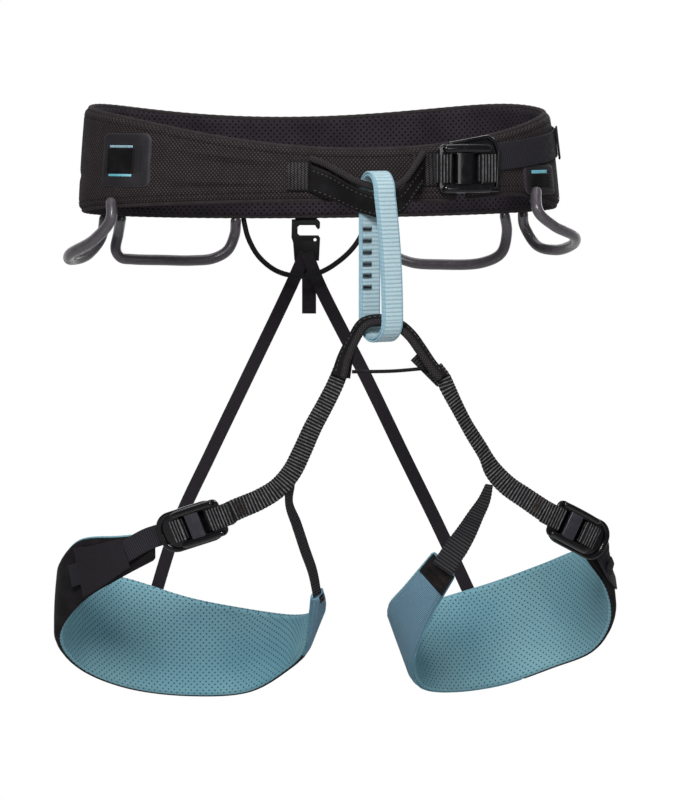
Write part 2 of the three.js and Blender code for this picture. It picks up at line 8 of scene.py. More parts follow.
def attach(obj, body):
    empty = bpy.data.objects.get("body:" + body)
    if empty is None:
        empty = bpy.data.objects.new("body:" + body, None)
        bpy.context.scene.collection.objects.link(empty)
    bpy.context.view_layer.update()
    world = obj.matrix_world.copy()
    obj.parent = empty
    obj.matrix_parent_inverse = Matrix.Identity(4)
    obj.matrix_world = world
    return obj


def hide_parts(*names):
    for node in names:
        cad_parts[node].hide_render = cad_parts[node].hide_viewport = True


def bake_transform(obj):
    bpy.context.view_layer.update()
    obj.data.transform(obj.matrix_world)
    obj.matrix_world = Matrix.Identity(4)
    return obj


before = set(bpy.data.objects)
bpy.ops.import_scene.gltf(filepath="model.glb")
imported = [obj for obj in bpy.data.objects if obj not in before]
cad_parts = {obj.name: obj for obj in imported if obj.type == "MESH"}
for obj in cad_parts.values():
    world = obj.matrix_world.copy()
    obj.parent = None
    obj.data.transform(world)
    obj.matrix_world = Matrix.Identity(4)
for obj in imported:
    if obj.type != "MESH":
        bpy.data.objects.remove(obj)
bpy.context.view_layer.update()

# A climbing harness: padded waistbelt, tie-in strip, belay loop, leg bridge, two leg loops and the
# elastic risers behind. Lengths below are millimetres in the model's frame, and every mesh is
# written in metres. Left and right are the viewer's.

MM = 0.001

GAP = 0.3
WEBBING = 1.6
LEG_WEBBING_WIDTH = 16
WAIST_WEBBING_WIDTH = 20
BELT_OUTSIDE = 4.2          # from the belt's middle to its outer face
BELT_TURN = math.radians(10)            # the belt's rise and fall is turned this far round it
BELT_GAP = math.radians(36.3)           # the belt's two ends meet here, under the buckle
BELT_GAP_HALF = math.radians(1.4)
PAD_REACH = 3.5             # half a leg pad's thickness
RIB_PITCH = 2.4             # rib to rib on black webbing
DIMPLE_PITCH = 4.7          # hole to hole along the spacer mesh
GEAR_TUBE_RADIUS = 4.0
ROLL_RADIUS = 2.4
BELAY_RIB = 2.9             # rib to rib on the belay loop

scene = bpy.context.scene


# ---- Curves ----

def unit(v):
    return v / np.linalg.norm(v, axis=-1, keepdims=True)


def catmull(points, t):
    """Centripetal Catmull-Rom curve through points, at shares t."""
    p = np.asarray(points, float)
    padded = np.vstack([2 * p[0] - p[1], p, 2 * p[-1] - p[-2]])
    place = np.clip(np.asarray(t, float), 0, 1) * (len(p) - 1)
    first = np.minimum(place.astype(int), len(p) - 2)
    w = (place - first)[:, None]
    a, b, c, d = (padded[first + k] for k in range(4))
    span = [np.maximum(np.linalg.norm(y - x, axis=1, keepdims=True) ** 0.5, 1e-4)
            for x, y in ((a, b), (b, c), (c, d))]
    leave = ((b - a) / span[0] - (c - a) / (span[0] + span[1]) + (c - b) / span[1]) * span[1]
    arrive = ((c - b) / span[1] - (d - b) / (span[1] + span[2]) + (d - c) / span[2]) * span[1]
    square = -3 * b + 3 * c - 2 * leave - arrive
    cube = 2 * b - 2 * c + leave + arrive
    return b + leave * w + square * w ** 2 + cube * w ** 3


class Route:
    """A strap's or tube's middle line, measured along its length. It faces outwards, or its side
    is given. Its direction is taken over a slope of shares to both sides."""

    def __init__(self, points, facing=(0, -1, 0), side=None, slope=0.002):
        self.points = points
        self.facing = np.asarray(facing, float)
        self.side = side
        self.slope = slope
        self.shares = np.linspace(0, 1, 1200)
        steps = np.linalg.norm(np.diff(catmull(points, self.shares), axis=0), axis=1)
        self.lengths = np.concatenate([[0], np.cumsum(steps)])
        self.length = self.lengths[-1]

    def at(self, s):
        """Point, side and outward direction at lengths s."""
        t = np.interp(s, self.lengths, self.shares)
        point = catmull(self.points, t)
        tangent = unit(catmull(self.points, t + self.slope) - catmull(self.points, t - self.slope))
        if self.side is not None:
            side = np.broadcast_to(np.asarray(self.side, float), point.shape)
            return point, side, unit(np.cross(tangent, side))
        if self.facing.ndim == 1:
            look = np.broadcast_to(self.facing, point.shape)
        else:
            look = catmull(self.facing, t)
        side = unit(np.cross(tangent, look))
        return point, side, unit(np.cross(side, tangent))

    def samples(self, step):
        return np.linspace(0, self.length, max(int(self.length / step), 4))


# ---- Meshes ----

def finish_piece(obj, body=None, nodes=(), slot=None):
    if body:
        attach(obj, body)
    if nodes:
        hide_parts(*nodes)
    return obj


def mesh_object(name, vertices, faces, look, uv=None):
    mesh = bpy.data.meshes.new(name)
    mesh.from_pydata((np.asarray(vertices) * MM).tolist(), [], faces)
    if uv is not None:
        layer = mesh.uv_layers.new(name="UVMap")
        layer.data.foreach_set("uv", np.asarray(uv, np.float32).ravel())
    mesh.materials.append(MATERIALS[look])
    mesh.polygons.foreach_set("use_smooth", [True] * len(mesh.polygons))
    mesh.update()
    obj = bpy.data.objects.new(name, mesh)
    scene.collection.objects.link(obj)
    return obj


def loft(name, rings, uv, look, closed=False):
    """Closed solid from rings of points, shape (rings, around, 3); uv has one more column."""
    rings = np.asarray(rings)
    count, around = rings.shape[:2]
    spans = count if closed else count - 1
    i, j = (x.ravel() for x in np.meshgrid(np.arange(spans), np.arange(around), indexing="ij"))
    i2, j2 = (i + 1) % count, (j + 1) % around
    quads = np.stack([i * around + j, i * around + j2, i2 * around + j2, i2 * around + j], 1)
    loops = np.stack([uv[i, j], uv[i, j + 1], uv[i + 1, j + 1], uv[i + 1, j]], 1)
    faces = quads.tolist()
    loops = loops.reshape(-1, 2)
    if not closed:
        faces.append(list(range(around - 1, -1, -1)))
        faces.append(list(range((count - 1) * around, count * around)))
        loops = np.vstack([loops, uv[0, :around][::-1], uv[-1, :around]])
    obj = mesh_object(name, rings.reshape(-1, 3), faces, look, loops)
    face_outwards(obj)
    return obj


def face_outwards(obj):
    """Turns the faces round where the solid is inside out."""
    mesh = obj.data
    mesh.calc_loop_triangles()
    corners = np.array([t.vertices for t in mesh.loop_triangles])
    co = np.zeros(len(mesh.vertices) * 3)
    mesh.vertices.foreach_get("co", co)
    a, b, c = (co.reshape(-1, 3)[corners[:, k]] for k in range(3))
    if np.einsum("ij,ij->i", a, np.cross(b, c)).sum() < 0:
        mesh.flip_normals()


def joined(name, objects):
    """One object out of several, with their materials."""
    bpy.ops.object.select_all(action="DESELECT")
    for obj in objects:
        obj.select_set(True)
    bpy.context.view_layer.objects.active = objects[0]
    bpy.ops.object.join()
    objects[0].name = name
    objects[0].data.name = name
    return objects[0]


def ribs(s, pitch, height):
    """Rounded ribs across a woven strap."""
    return height * (np.abs(np.sin(np.pi * s / pitch)) ** 0.8 - 0.6)


def band_section(across=7):
    """Section of a flat strap: across and through shares, and outward direction."""
    flat = np.linspace(-1, 1, across)
    arc = np.radians([60, 20, -20, -60])
    core = np.concatenate([flat, np.ones(4), flat[::-1], -np.ones(4)])
    outward = np.concatenate([
        np.stack([0 * flat, 0 * flat + 1], 1), np.stack([np.cos(arc), np.sin(arc)], 1),
        np.stack([0 * flat, 0 * flat - 1], 1), np.stack([-np.cos(arc), -np.sin(arc)], 1),
    ])
    return core, outward


def strap_rings(s, point, side, normal, width, thickness, relief):
    """Rings and UV of a flat strap; relief lifts the surface along its length."""
    core, outward = band_section()
    half = thickness / 2
    flat_half = np.broadcast_to(np.asarray(width, float) / 2 - half, s.shape)
    lift = half + relief[:, None]
    x = core[None] * flat_half[:, None] + outward[None, :, 0] * lift
    z = outward[None, :, 1] * lift
    rings = point[:, None] + side[:, None] * x[..., None] + normal[:, None] * z[..., None]
    u = np.broadcast_to(s[:, None], x.shape)
    uv = np.stack([u, x], 2) * MM
    return rings, np.concatenate([uv, uv[:, :1]], 1)


def strap(name, route, width, thickness, look, pitch=RIB_PITCH, height=0.16):
    s = route.samples(pitch / 6)
    point, side, normal = route.at(s)
    breadth = width(s / route.length) if callable(width) else width
    relief = ribs(s, pitch, height)
    rings, uv = strap_rings(s, point, side, normal, breadth, thickness, relief)
    return loft(name, rings, uv, look)


def tube(name, route, radius, look, step=1.5, around=20, relief=None, squash=1.0):
    """Round or oval tube with closed ends; relief(s, angle) lifts its surface."""
    s = route.samples(step)
    point, side, normal = route.at(s)
    angle = np.linspace(0, 2 * np.pi, around + 1)
    lift = relief(s[:, None], angle[None]) if relief else np.zeros((len(s), around + 1))
    taper = np.minimum(np.minimum(s, route.length - s) / radius, 1)[:, None]
    reach = (radius + lift) * np.sqrt(1 - (1 - np.maximum(taper, 0.05)) ** 2)
    offset = (side[:, None] * (reach * np.cos(angle))[..., None]
              + normal[:, None] * (reach * squash * np.sin(angle))[..., None])
    rings = point[:, None] + offset[:, :-1]
    uv = np.stack(np.broadcast_arrays(s[:, None], radius * angle[None]), 2) * MM
    return loft(name, rings, uv, look)


def threads(name, runs, radius, look):
    """Sewing thread: each run is a short line of points."""
    vertices, faces = [], []
    angle = np.linspace(0, 2 * np.pi, 6)[:5]
    for run in runs:
        run = np.asarray(run, float)
        along = unit(np.gradient(run, axis=0))
        helper = np.where(np.abs(along[:, 2:]) > 0.8, [[1.0, 0, 0]], [[0, 0, 1.0]])
        side = unit(np.cross(along, helper))
        other = np.cross(side, along)
        size = np.full(len(run), radius)
        size[[0, -1]] *= 0.35
        first = len(vertices)
        for p, a, b, r in zip(run, side, other, size):
            vertices.extend(p + r * (a * math.cos(k) + b * math.sin(k)) for k in angle)
        for i in range(len(run) - 1):
            low = first + i * 5
            faces.extend([low + j, low + (j + 1) % 5, low + 5 + (j + 1) % 5, low + 5 + j]
                         for j in range(5))
        faces.append([first + j for j in range(4, -1, -1)])
        faces.append([first + (len(run) - 1) * 5 + j for j in range(5)])
    loops = np.zeros((sum(len(f) for f in faces), 2))
    obj = mesh_object(name, np.array(vertices), faces, look, loops)
    face_outwards(obj)
    return obj


def stitch_runs(place, start, end, length, gap, sag=0.25):
    """Running stitches: place(s) gives points on a surface at lengths s."""
    runs = []
    s = start
    while s + length <= end:
        runs.append(place(np.linspace(s, s + length, 4), np.array([-sag, 0, 0, -sag])))
        s += length + gap
    return runs


def edge_stitches(band, heights, sides, lift, margin, length, gap, sag=0.25):
    """Stitches along a band, at heights above its lower edge or, when negative, below its upper."""
    runs = []
    for height in heights:
        for side in sides:
            place = band_place(band, height, side, lift)
            runs += stitch_runs(place, margin, band.length - margin, length, gap, sag)
    return runs


def zigzag(place, start, end, low, high, pitch):
    """One dense zigzag of thread over a rectangle of a surface, as a single run."""
    count = max(int(abs(end - start) / pitch), 2)
    a = np.linspace(start, end, count * 2)
    b = np.where(np.arange(count * 2) % 2, high, low)
    return place(a, b)


# ---- Bands: padded strips between a lower and an upper edge ----

class Band:
    """edges(t) gives the lower and upper edge points; outward is +1 or -1 along the normal."""

    def __init__(self, edges, outward=1):
        self.edges = edges
        self.outward = outward
        shares = np.linspace(0, 1, 900)
        low, high = edges(shares)
        middle = (low + high) / 2
        steps = np.linalg.norm(np.diff(middle, axis=0), axis=1)
        self.shares = shares
        self.lengths = np.concatenate([[0], np.cumsum(steps)])
        self.length = self.lengths[-1]
        self.height = np.linalg.norm(high - low, axis=1).mean()

    def share(self, s):
        return np.interp(s, self.lengths, self.shares)

    def normal(self, t):
        low, high = self.edges(t)
        before, after = (sum(self.edges(np.clip(t + d, 0, 1))) / 2 for d in (-0.002, 0.002))
        return self.outward * unit(np.cross(after - before, high - low))

    def at(self, t, v, offset):
        """Points on the band at shares t and v, lifted by offset; the arrays match in shape."""
        low, high = self.edges(t)
        across = v[..., None]
        return low + (high - low) * across + self.normal(t) * np.asarray(offset)[..., None]

    def grid(self, t, v, offset):
        low, high = self.edges(t)
        flat = low[:, None] + (high - low)[:, None] * v[None, :, None]
        return flat + self.normal(t)[:, None] * offset[..., None]


def band_place(band, height_mm, side, lift):
    """place(s, extra) on a band: along its length, a height above its lower edge, and a lift."""
    def place(s, extra):
        t = band.share(s)
        low, high = band.edges(t)
        tall = np.linalg.norm(high - low, axis=1)
        v = (height_mm / tall) if height_mm >= 0 else (1 + height_mm / tall)
        return band.at(t, v, side * (lift + extra))
    return place


COVER_CELL = 8              # the simulated cover's mesh size along the band
COVER_COLUMNS = 9
COVER_FRAMES = 12


def settle(name, band, reach, pressure, cap):
    """Blows the band's cover up a little with a cloth simulation, pinned along its seams.
    Returns swell(side, t, v): how far the cover stands off its starting shape."""
    along, across = max(int(band.length / COVER_CELL), 30), COVER_COLUMNS
    t = band.share(np.linspace(0, band.length, along))
    v = np.linspace(0, 1, across)
    bulge = np.sqrt(1 - (2 * v - 1) ** 2) * reach * 0.8
    outer = band.grid(t, v, np.broadcast_to(bulge, (along, across)))
    inner = band.grid(t, v[-2:0:-1], np.broadcast_to(-bulge[-2:0:-1], (along, across - 2)))
    rings = np.concatenate([outer, inner], 1)
    uv = np.zeros((along, rings.shape[1] + 1, 2))
    obj = loft(name, rings, uv, "thread")
    pinned = [i * rings.shape[1] + j for i in range(along) for j in (0, across - 1)]
    ring = rings.shape[1]
    pinned += list(range(ring)) + list(range((along - 1) * ring, along * ring))
    group = obj.vertex_groups.new(name="seam")
    group.add(pinned, 1.0, "REPLACE")
    cloth = obj.modifiers.new("cloth", "CLOTH")
    cloth.settings.vertex_group_mass = "seam"
    cloth.settings.use_pressure = True
    cloth.settings.uniform_pressure_force = pressure
    cloth.settings.effector_weights.gravity = 0
    cloth.settings.quality = 4
    cloth.point_cache.frame_start = 1
    cloth.point_cache.frame_end = COVER_FRAMES
    for step in range(1, COVER_FRAMES + 1):
        scene.frame_set(step)
    shape = obj.evaluated_get(bpy.context.evaluated_depsgraph_get()).to_mesh()
    co = np.zeros(len(shape.vertices) * 3)
    shape.vertices.foreach_get("co", co)
    moved = co.reshape(rings.shape) / MM - rings
    scene.frame_set(1)
    bpy.data.objects.remove(obj)
    normal = band.normal(t)[:, None]
    lift = np.clip(np.einsum("ijk,ijk->ij", moved, np.broadcast_to(normal, moved.shape)), -cap, cap)
    columns = {1: list(range(across)), -1: [0] + [ring - k for k in range(1, across - 1)] + [across - 1]}

    def swell(side, ts, vs):
        field = lift[:, columns[side]] * side
        by_length = np.stack([np.interp(ts, t, field[:, k]) for k in range(across)], 1)
        return np.stack([np.interp(vs, v, row) for row in by_length])
    return swell


def edge_round(distance, radius):
    return np.sqrt(1 - (1 - np.clip(distance / radius, 0, 1)) ** 2)


def dimples(u, v, pitch=DIMPLE_PITCH):
    """1 in the middle of a hole of the spacer mesh, 0 between the holes."""
    lattice = np.cos(2 * np.pi * u / pitch) * np.cos(2 * np.pi * v / pitch)
    return np.clip((lattice - 0.45) / 0.5, 0, 1)


def skin(name, band, side, reach, relief, swell, look, step, start=0.0, end=1.0):
    """Half of a padded band, from its middle out to one face, as a closed solid."""
    first, last = (np.interp(x, band.shares, band.lengths) for x in (start, end))
    s = np.linspace(first, last, int((last - first) / step))
    t = band.share(s)
    edge = 0.5 * reach / band.height
    v = np.unique(np.concatenate([
        edge * np.array([0, 0.08, 0.25, 0.5, 0.8]), 1 - edge * np.array([0, 0.08, 0.25, 0.5, 0.8]),
        np.linspace(edge, 1 - edge, int(band.height / step)),
    ]))
    low, high = band.edges(t)
    tall = np.linalg.norm(high - low, axis=1)
    u_mm, v_mm = s[:, None], v[None] * tall[:, None]
    from_edge = np.minimum(v_mm, tall[:, None] - v_mm)
    from_end = np.minimum(s, band.length - s)[:, None]
    round_off = edge_round(from_edge, reach * 1.1) * edge_round(from_end, reach)
    inner_part = np.clip(from_edge / 3, 0, 1)
    lift = reach * round_off + (relief(u_mm, v_mm, t[:, None], v[None]) + swell(side, t, v)) * inner_part
    core = 0.12
    face = band.grid(t, v, side * np.maximum(lift, core))
    back = band.grid(t, np.array([0.75, 0.5, 0.25]), np.full((len(t), 3), side * core))
    rings = np.concatenate([face, back], 1)
    uv = np.stack(np.broadcast_arrays(u_mm, v_mm), 2) * MM
    uv = np.concatenate([uv, uv[:, [-1, -1, 0, 0]]], 1)
    return loft(name, rings, uv, look)


# ---- Materials ----

MATERIALS = {}


class Nodes:
    """Short names for the nodes of one material, which it adds to MATERIALS."""

    def __init__(self, name, colour, roughness, metallic=0.0, specular=0.5):
        material = bpy.data.materials.new(name)
        material.use_nodes = True
        MATERIALS[name] = material
        self.tree = material.node_tree
        self.shader = self.tree.nodes["Principled BSDF"]
        self.shader.inputs["Base Color"].default_value = (*colour, 1)
        self.shader.inputs["Roughness"].default_value = roughness
        self.shader.inputs["Metallic"].default_value = metallic
        self.shader.inputs["Specular IOR Level"].default_value = specular

    def link(self, source, socket):
        self.tree.links.new(source, socket)

    def math(self, operation, a, b=0.0):
        node = self.tree.nodes.new("ShaderNodeMath")
        node.operation = operation
        for socket, value in zip(node.inputs, (a, b)):
            if isinstance(value, (int, float)):
                socket.default_value = value
            else:
                self.link(value, socket)
        return node.outputs[0]

    def remap(self, value, low, high, to_low=0.0, to_high=1.0):
        node = self.tree.nodes.new("ShaderNodeMapRange")
        node.interpolation_type = "SMOOTHSTEP"
        self.link(value, node.inputs["Value"])
        for name, number in (("From Min", low), ("From Max", high), ("To Min", to_low), ("To Max", to_high)):
            node.inputs[name].default_value = number
        return node.outputs["Result"]

    def uv(self):
        """Length along the piece and across it, in millimetres."""
        node = self.tree.nodes.new("ShaderNodeUVMap")
        node.uv_map = "UVMap"
        split = self.tree.nodes.new("ShaderNodeSeparateXYZ")
        self.link(node.outputs["UV"], split.inputs[0])
        return [self.math("MULTIPLY", split.outputs[k], 1000.0) for k in range(2)]

    def wave(self, value, pitch, phase=0.0):
        turned = self.math("MULTIPLY", value, 2 * math.pi / pitch)
        return self.math("COSINE", self.math("ADD", turned, phase))

    def noise(self, size_mm, detail=3.0):
        where = self.tree.nodes.new("ShaderNodeTexCoord")
        node = self.tree.nodes.new("ShaderNodeTexNoise")
        node.inputs["Scale"].default_value = 1000.0 / size_mm
        node.inputs["Detail"].default_value = detail
        self.link(where.outputs["Object"], node.inputs["Vector"])
        return node.outputs["Fac"]

    def mix(self, share, a, b):
        node = self.tree.nodes.new("ShaderNodeMix")
        node.data_type = "RGBA"
        self.link(share, node.inputs["Factor"])
        for socket, value in ((node.inputs[6], a), (node.inputs[7], b)):
            if isinstance(value, tuple):
                socket.default_value = (*value, 1)
            else:
                self.link(value, socket)
        return node.outputs[2]

    def colour(self, source):
        self.link(source, self.shader.inputs["Base Color"])

    def roughness(self, source):
        self.link(source, self.shader.inputs["Roughness"])

    def bump(self, height, depth_mm, strength=1.0):
        node = self.tree.nodes.new("ShaderNodeBump")
        node.inputs["Distance"].default_value = depth_mm * MM
        node.inputs["Strength"].default_value = strength
        self.link(height, node.inputs["Height"])
        self.link(node.outputs["Normal"], self.shader.inputs["Normal"])

    def sheen(self, weight, roughness, tint):
        self.shader.inputs["Sheen Weight"].default_value = weight
        self.shader.inputs["Sheen Roughness"].default_value = roughness
        self.shader.inputs["Sheen Tint"].default_value = (*tint, 1)

    def coat(self, weight, roughness):
        self.shader.inputs["Coat Weight"].default_value = weight
        self.shader.inputs["Coat Roughness"].default_value = roughness


FABRIC_GLOSS = 0.15


def woven(name, dark, light, pitch, yarn=0.9, roughness=0.7, bump=0.12, sheen=0.04, low=0.35, high=1.05,
          edge=None, edge_from=0.0, fuzz=0.25, fuzz_mm=2.5):
    """Ribbed webbing: lighter colour on the ribs, darker between them, and a fine weave across; on the black
    webbing with rib highlights the light ribs are painted highlight. Beyond edge_from millimetres from its
    middle it may have an edge of another colour. Fuzz is uneven yarn."""
    n = Nodes(name, dark, roughness, specular=FABRIC_GLOSS)
    u, v = n.uv()
    rib = n.math("ABSOLUTE", n.math("SINE", n.math("MULTIPLY", u, math.pi / pitch)))
    yarns = n.math("MULTIPLY", n.wave(v, yarn), n.wave(u, pitch / 2))
    patches = n.noise(fuzz_mm)
    level = n.math("ADD", n.math("MULTIPLY", rib, 0.75), n.math("MULTIPLY", yarns, 0.16))
    level = n.math("ADD", level, n.math("MULTIPLY", patches, fuzz))
    shade = n.mix(n.remap(level, low, high), dark, light)
    if edge:
        beyond = n.remap(n.math("ABSOLUTE", v), edge_from - 0.15, edge_from + 0.15)
        shade = n.mix(beyond, shade, edge)
    n.colour(shade)
    n.roughness(n.remap(patches, 0.3, 0.7, roughness - 0.08, roughness + 0.1))
    n.bump(n.math("ADD", rib, n.math("MULTIPLY", yarns, 0.5)), bump)
    n.sheen(sheen, 0.4, light)


def braided(name, dark, light, lay, strands, around):
    """Braided cord: light strands crossing dark ones along two helices."""
    n = Nodes(name, dark, 0.75, specular=FABRIC_GLOSS)
    u, v = n.uv()
    turn = n.math("MULTIPLY", v, 2 * math.pi * strands / around)
    along = n.math("MULTIPLY", u, 2 * math.pi / lay)
    one = n.math("COSINE", n.math("ADD", along, turn))
    other = n.math("COSINE", n.math("SUBTRACT", along, turn))
    level = n.math("ADD", n.math("MAXIMUM", one, other), n.math("MULTIPLY", n.noise(0.7), 0.5))
    n.colour(n.mix(n.remap(level, 0.5, 1.35), dark, light))
    n.bump(n.math("MAXIMUM", one, other), 0.2)
    n.sheen(0.05, 0.4, light)


def spacer_mesh(name, base, light, painted_hole_shade, roughness=0.75, sheen=0.08, pitch=DIMPLE_PITCH, hole_from=0.55,
                cloud_mm=28.0, cloud_low=0.3):
    """Knitted spacer mesh: a fine knit with rows of holes, coloured much darker there as painted shade."""
    n = Nodes(name, base, roughness, specular=FABRIC_GLOSS)
    u, v = n.uv()
    lattice = n.math("MULTIPLY", n.wave(u, pitch), n.wave(v, pitch))
    hole_share = n.remap(lattice, hole_from, hole_from + 0.33)
    knit = n.math("MULTIPLY", n.wave(u, pitch / 6), n.wave(v, pitch / 4))
    broad = n.noise(cloud_mm, 2.0)
    level = n.math("ADD", broad, n.math("MULTIPLY", knit, 0.10))
    shade = n.mix(n.remap(level, cloud_low, 1 - cloud_low), base, light)
    # The holes take the darker colour: painted shade in the recesses.
    n.colour(n.mix(hole_share, shade, painted_hole_shade))
    n.bump(n.math("ADD", n.math("MULTIPLY", knit, 0.3), n.math("MULTIPLY", hole_share, -1.0)), 0.22)
    n.sheen(sheen, 0.5, light)


def open_mesh(name, dark, light, pitch_along, pitch_across, roughness=0.85):
    """Tough outer mesh: small lighter loops in staggered rows on a dark ground."""
    n = Nodes(name, dark, roughness, specular=FABRIC_GLOSS)
    u, v = n.uv()
    lattice = n.math("MULTIPLY", n.wave(u, pitch_along), n.wave(v, pitch_across))
    loops = n.remap(lattice, 0.15, 0.75)
    wear = n.remap(n.noise(9.0), 0.3, 0.7, 0.55, 1.0)
    n.colour(n.mix(n.math("MULTIPLY", loops, wear), dark, light))
    n.bump(n.math("ADD", lattice, n.math("MULTIPLY", n.noise(0.8), 0.6)), 0.2)
    n.sheen(0.04, 0.5, light)


def grained(name, colour, worn, roughness, grain_mm, bump, specular=2 * FABRIC_GLOSS):
    """Synthetic leather or coated cloth: fine grain, a little lighter where it is rubbed."""
    n = Nodes(name, colour, roughness, specular=specular)
    grain = n.noise(grain_mm, 4.0)
    n.colour(n.mix(n.remap(n.noise(12.0), 0.35, 0.75), colour, worn))
    n.roughness(n.remap(grain, 0.3, 0.7, roughness - 0.07, roughness + 0.1))
    n.bump(grain, bump)


def moulded(name, colour, light, roughness, specular=0.5, coat=0.0):
    """Moulded plastic or anodised metal, with faint scuffs."""
    n = Nodes(name, colour, roughness, specular=specular)
    scuffs = n.noise(5.0, 5.0)
    n.colour(n.mix(n.remap(scuffs, 0.45, 0.8), colour, light))
    n.roughness(n.remap(scuffs, 0.35, 0.75, roughness, roughness + 0.12))
    n.bump(n.noise(1.5), 0.006)
    n.coat(coat, 0.08)


open_mesh("outer_mesh", (0.011, 0.0085, 0.0095), (0.062, 0.050, 0.050), 2.7, 3.1)
open_mesh("hem_mesh", (0.015, 0.012, 0.013), (0.085, 0.074, 0.074), 1.4, 1.4)
# The third colour of each lining is the painted shade in its holes.
spacer_mesh("belt_lining", (0.014, 0.011, 0.015), (0.024, 0.019, 0.025),
            (0.0003, 0.0003, 0.0003), 0.85, 0.03, hole_from=0.38)
spacer_mesh("teal_lining", (0.125, 0.290, 0.365), (0.215, 0.400, 0.455),
            (0.012, 0.060, 0.085), cloud_mm=70.0, cloud_low=0.15)
woven("teal_knit", (0.070, 0.150, 0.215), (0.205, 0.340, 0.430), 1.5, 0.9, 0.8, 0.16, 0.05)
woven("webbing", (0.004, 0.004, 0.005), (0.040, 0.040, 0.043), RIB_PITCH)
# Painted highlight: black webbing whose rib tops are coloured as thin light grey lines.
woven("rib_highlight_webbing", (0.003, 0.003, 0.004), (0.24, 0.24, 0.245), RIB_PITCH, low=0.72)
woven("tail_webbing", (0.008, 0.007, 0.010), (0.028, 0.026, 0.033), 1.6, 0.8, 0.75, 0.08)
woven("elastic", (0.010, 0.0085, 0.011), (0.021, 0.018, 0.022), 1.1, 0.8, 0.85, 0.06)
woven("belay", (0.25, 0.42, 0.50), (0.49, 0.63, 0.68), BELAY_RIB, 0.8, 0.65, 0.25, 0.06, 0.20, 1.25,
      (0.26, 0.42, 0.50), 6.9, 0.8, 1.2)
grained("leather", (0.004, 0.0035, 0.004), (0.009, 0.0078, 0.009), 0.6, 0.5, 0.05, 0.1)
grained("coated", (0.006, 0.0055, 0.006), (0.013, 0.012, 0.013), 0.55, 1.0, 0.04, 0.15)
grained("piping", (0.0055, 0.0045, 0.0055), (0.011, 0.0095, 0.011), 0.8, 0.7, 0.08, 0.15)
grained("teal_piping", (0.07, 0.20, 0.27), (0.13, 0.30, 0.36), 0.8, 0.7, 0.08)
braided("roll", (0.006, 0.005, 0.006), (0.040, 0.036, 0.038), 2.0, 6, 2 * math.pi * ROLL_RADIUS)
grained("thread", (0.09, 0.085, 0.082), (0.17, 0.16, 0.155), 0.6, 0.4, 0.02)
grained("brown_thread", (0.030, 0.022, 0.019), (0.085, 0.062, 0.053), 0.6, 0.4, 0.02)
grained("black_thread", (0.003, 0.003, 0.004), (0.02, 0.015, 0.015), 0.6, 0.4, 0.02)
grained("teal_thread", (0.10, 0.36, 0.44), (0.22, 0.50, 0.58), 0.5, 0.4, 0.02)
moulded("tube", (0.058, 0.051, 0.060), (0.080, 0.071, 0.082), 0.28, 0.6)
moulded("buckle", (0.003, 0.003, 0.004), (0.006, 0.006, 0.007), 0.09, 0.3, 0.2)
moulded("bar", (0.022, 0.022, 0.030), (0.032, 0.032, 0.042), 0.30, 0.4)
woven("cord", (0.005, 0.0045, 0.006), (0.014, 0.012, 0.015), 1.4, 0.8, 0.7, 0.08)
grained("field", (0.013, 0.0118, 0.0135), (0.020, 0.0185, 0.021), 0.6, 0.5, 0.03, 0.2)
grained("rim", (0.018, 0.0165, 0.019), (0.028, 0.026, 0.030), 0.6, 0.5, 0.03)
moulded("hook", (0.003, 0.003, 0.0035), (0.007, 0.007, 0.008), 0.5, 0.15)


# ---- Camera, light and floor ----

target = Vector((0.012, 0, -0.179))
camera_data = bpy.data.cameras.new("camera")
camera_data.lens = 157
camera_data.sensor_width = 36
camera = bpy.data.objects.new("camera", camera_data)
camera.location = (0.012, -2.5901, 0.0476)
camera.rotation_euler = (target - camera.location).to_track_quat("-Z", "Y").to_euler()
scene.collection.objects.link(camera)
scene.camera = camera


def softbox(name, where, size, energy):
    data = bpy.data.lights.new(name, "AREA")
    data.size = size
    data.energy = energy
    light = bpy.data.objects.new(name, data)
    light.location = where
    light.rotation_euler = (target - light.location).to_track_quat("-Z", "Y").to_euler()
    scene.collection.objects.link(light)


softbox("key", (-0.35, -2.3, 1.1), 0.8, 72)
softbox("fill", (1.3, -2.1, 0.1), 0.7, 6)
softbox("top", (0.1, 0.2, 1.6), 1.2, 12)
softbox("rim", (0.7, 1.5, 0.5), 1.0, 8)

# The white room is seen pure white. It lights the harness strongly from behind and softly in front.
ROOM_BEHIND = 1.1
ROOM_IN_FRONT = 0.17
world = bpy.data.worlds.new("studio")
world.use_nodes = True
nodes, link = world.node_tree.nodes, world.node_tree.links.new
direction = nodes.new("ShaderNodeTexCoord")
axes = nodes.new("ShaderNodeSeparateXYZ")
strength = nodes.new("ShaderNodeMapRange")
ROOM_SHARES = {"From Min": 0.35, "From Max": 0.95, "To Min": ROOM_IN_FRONT, "To Max": ROOM_BEHIND}
for socket, value in ROOM_SHARES.items():
    strength.inputs[socket].default_value = value
room = nodes["Background"]
backdrop = nodes.new("ShaderNodeBackground")
for white in (room, backdrop):
    white.inputs["Color"].default_value = (1, 1, 1, 1)
ray = nodes.new("ShaderNodeLightPath")
choice = nodes.new("ShaderNodeMixShader")
link(direction.outputs["Generated"], axes.inputs[0])
link(axes.outputs["Y"], strength.inputs["Value"])
link(strength.outputs["Result"], room.inputs["Strength"])
link(ray.outputs["Is Camera Ray"], choice.inputs[0])
link(room.outputs[0], choice.inputs[1])
link(backdrop.outputs[0], choice.inputs[2])
link(choice.outputs[0], nodes["World Output"].inputs[0])
scene.world = world
scene.view_settings.view_transform = "Standard"

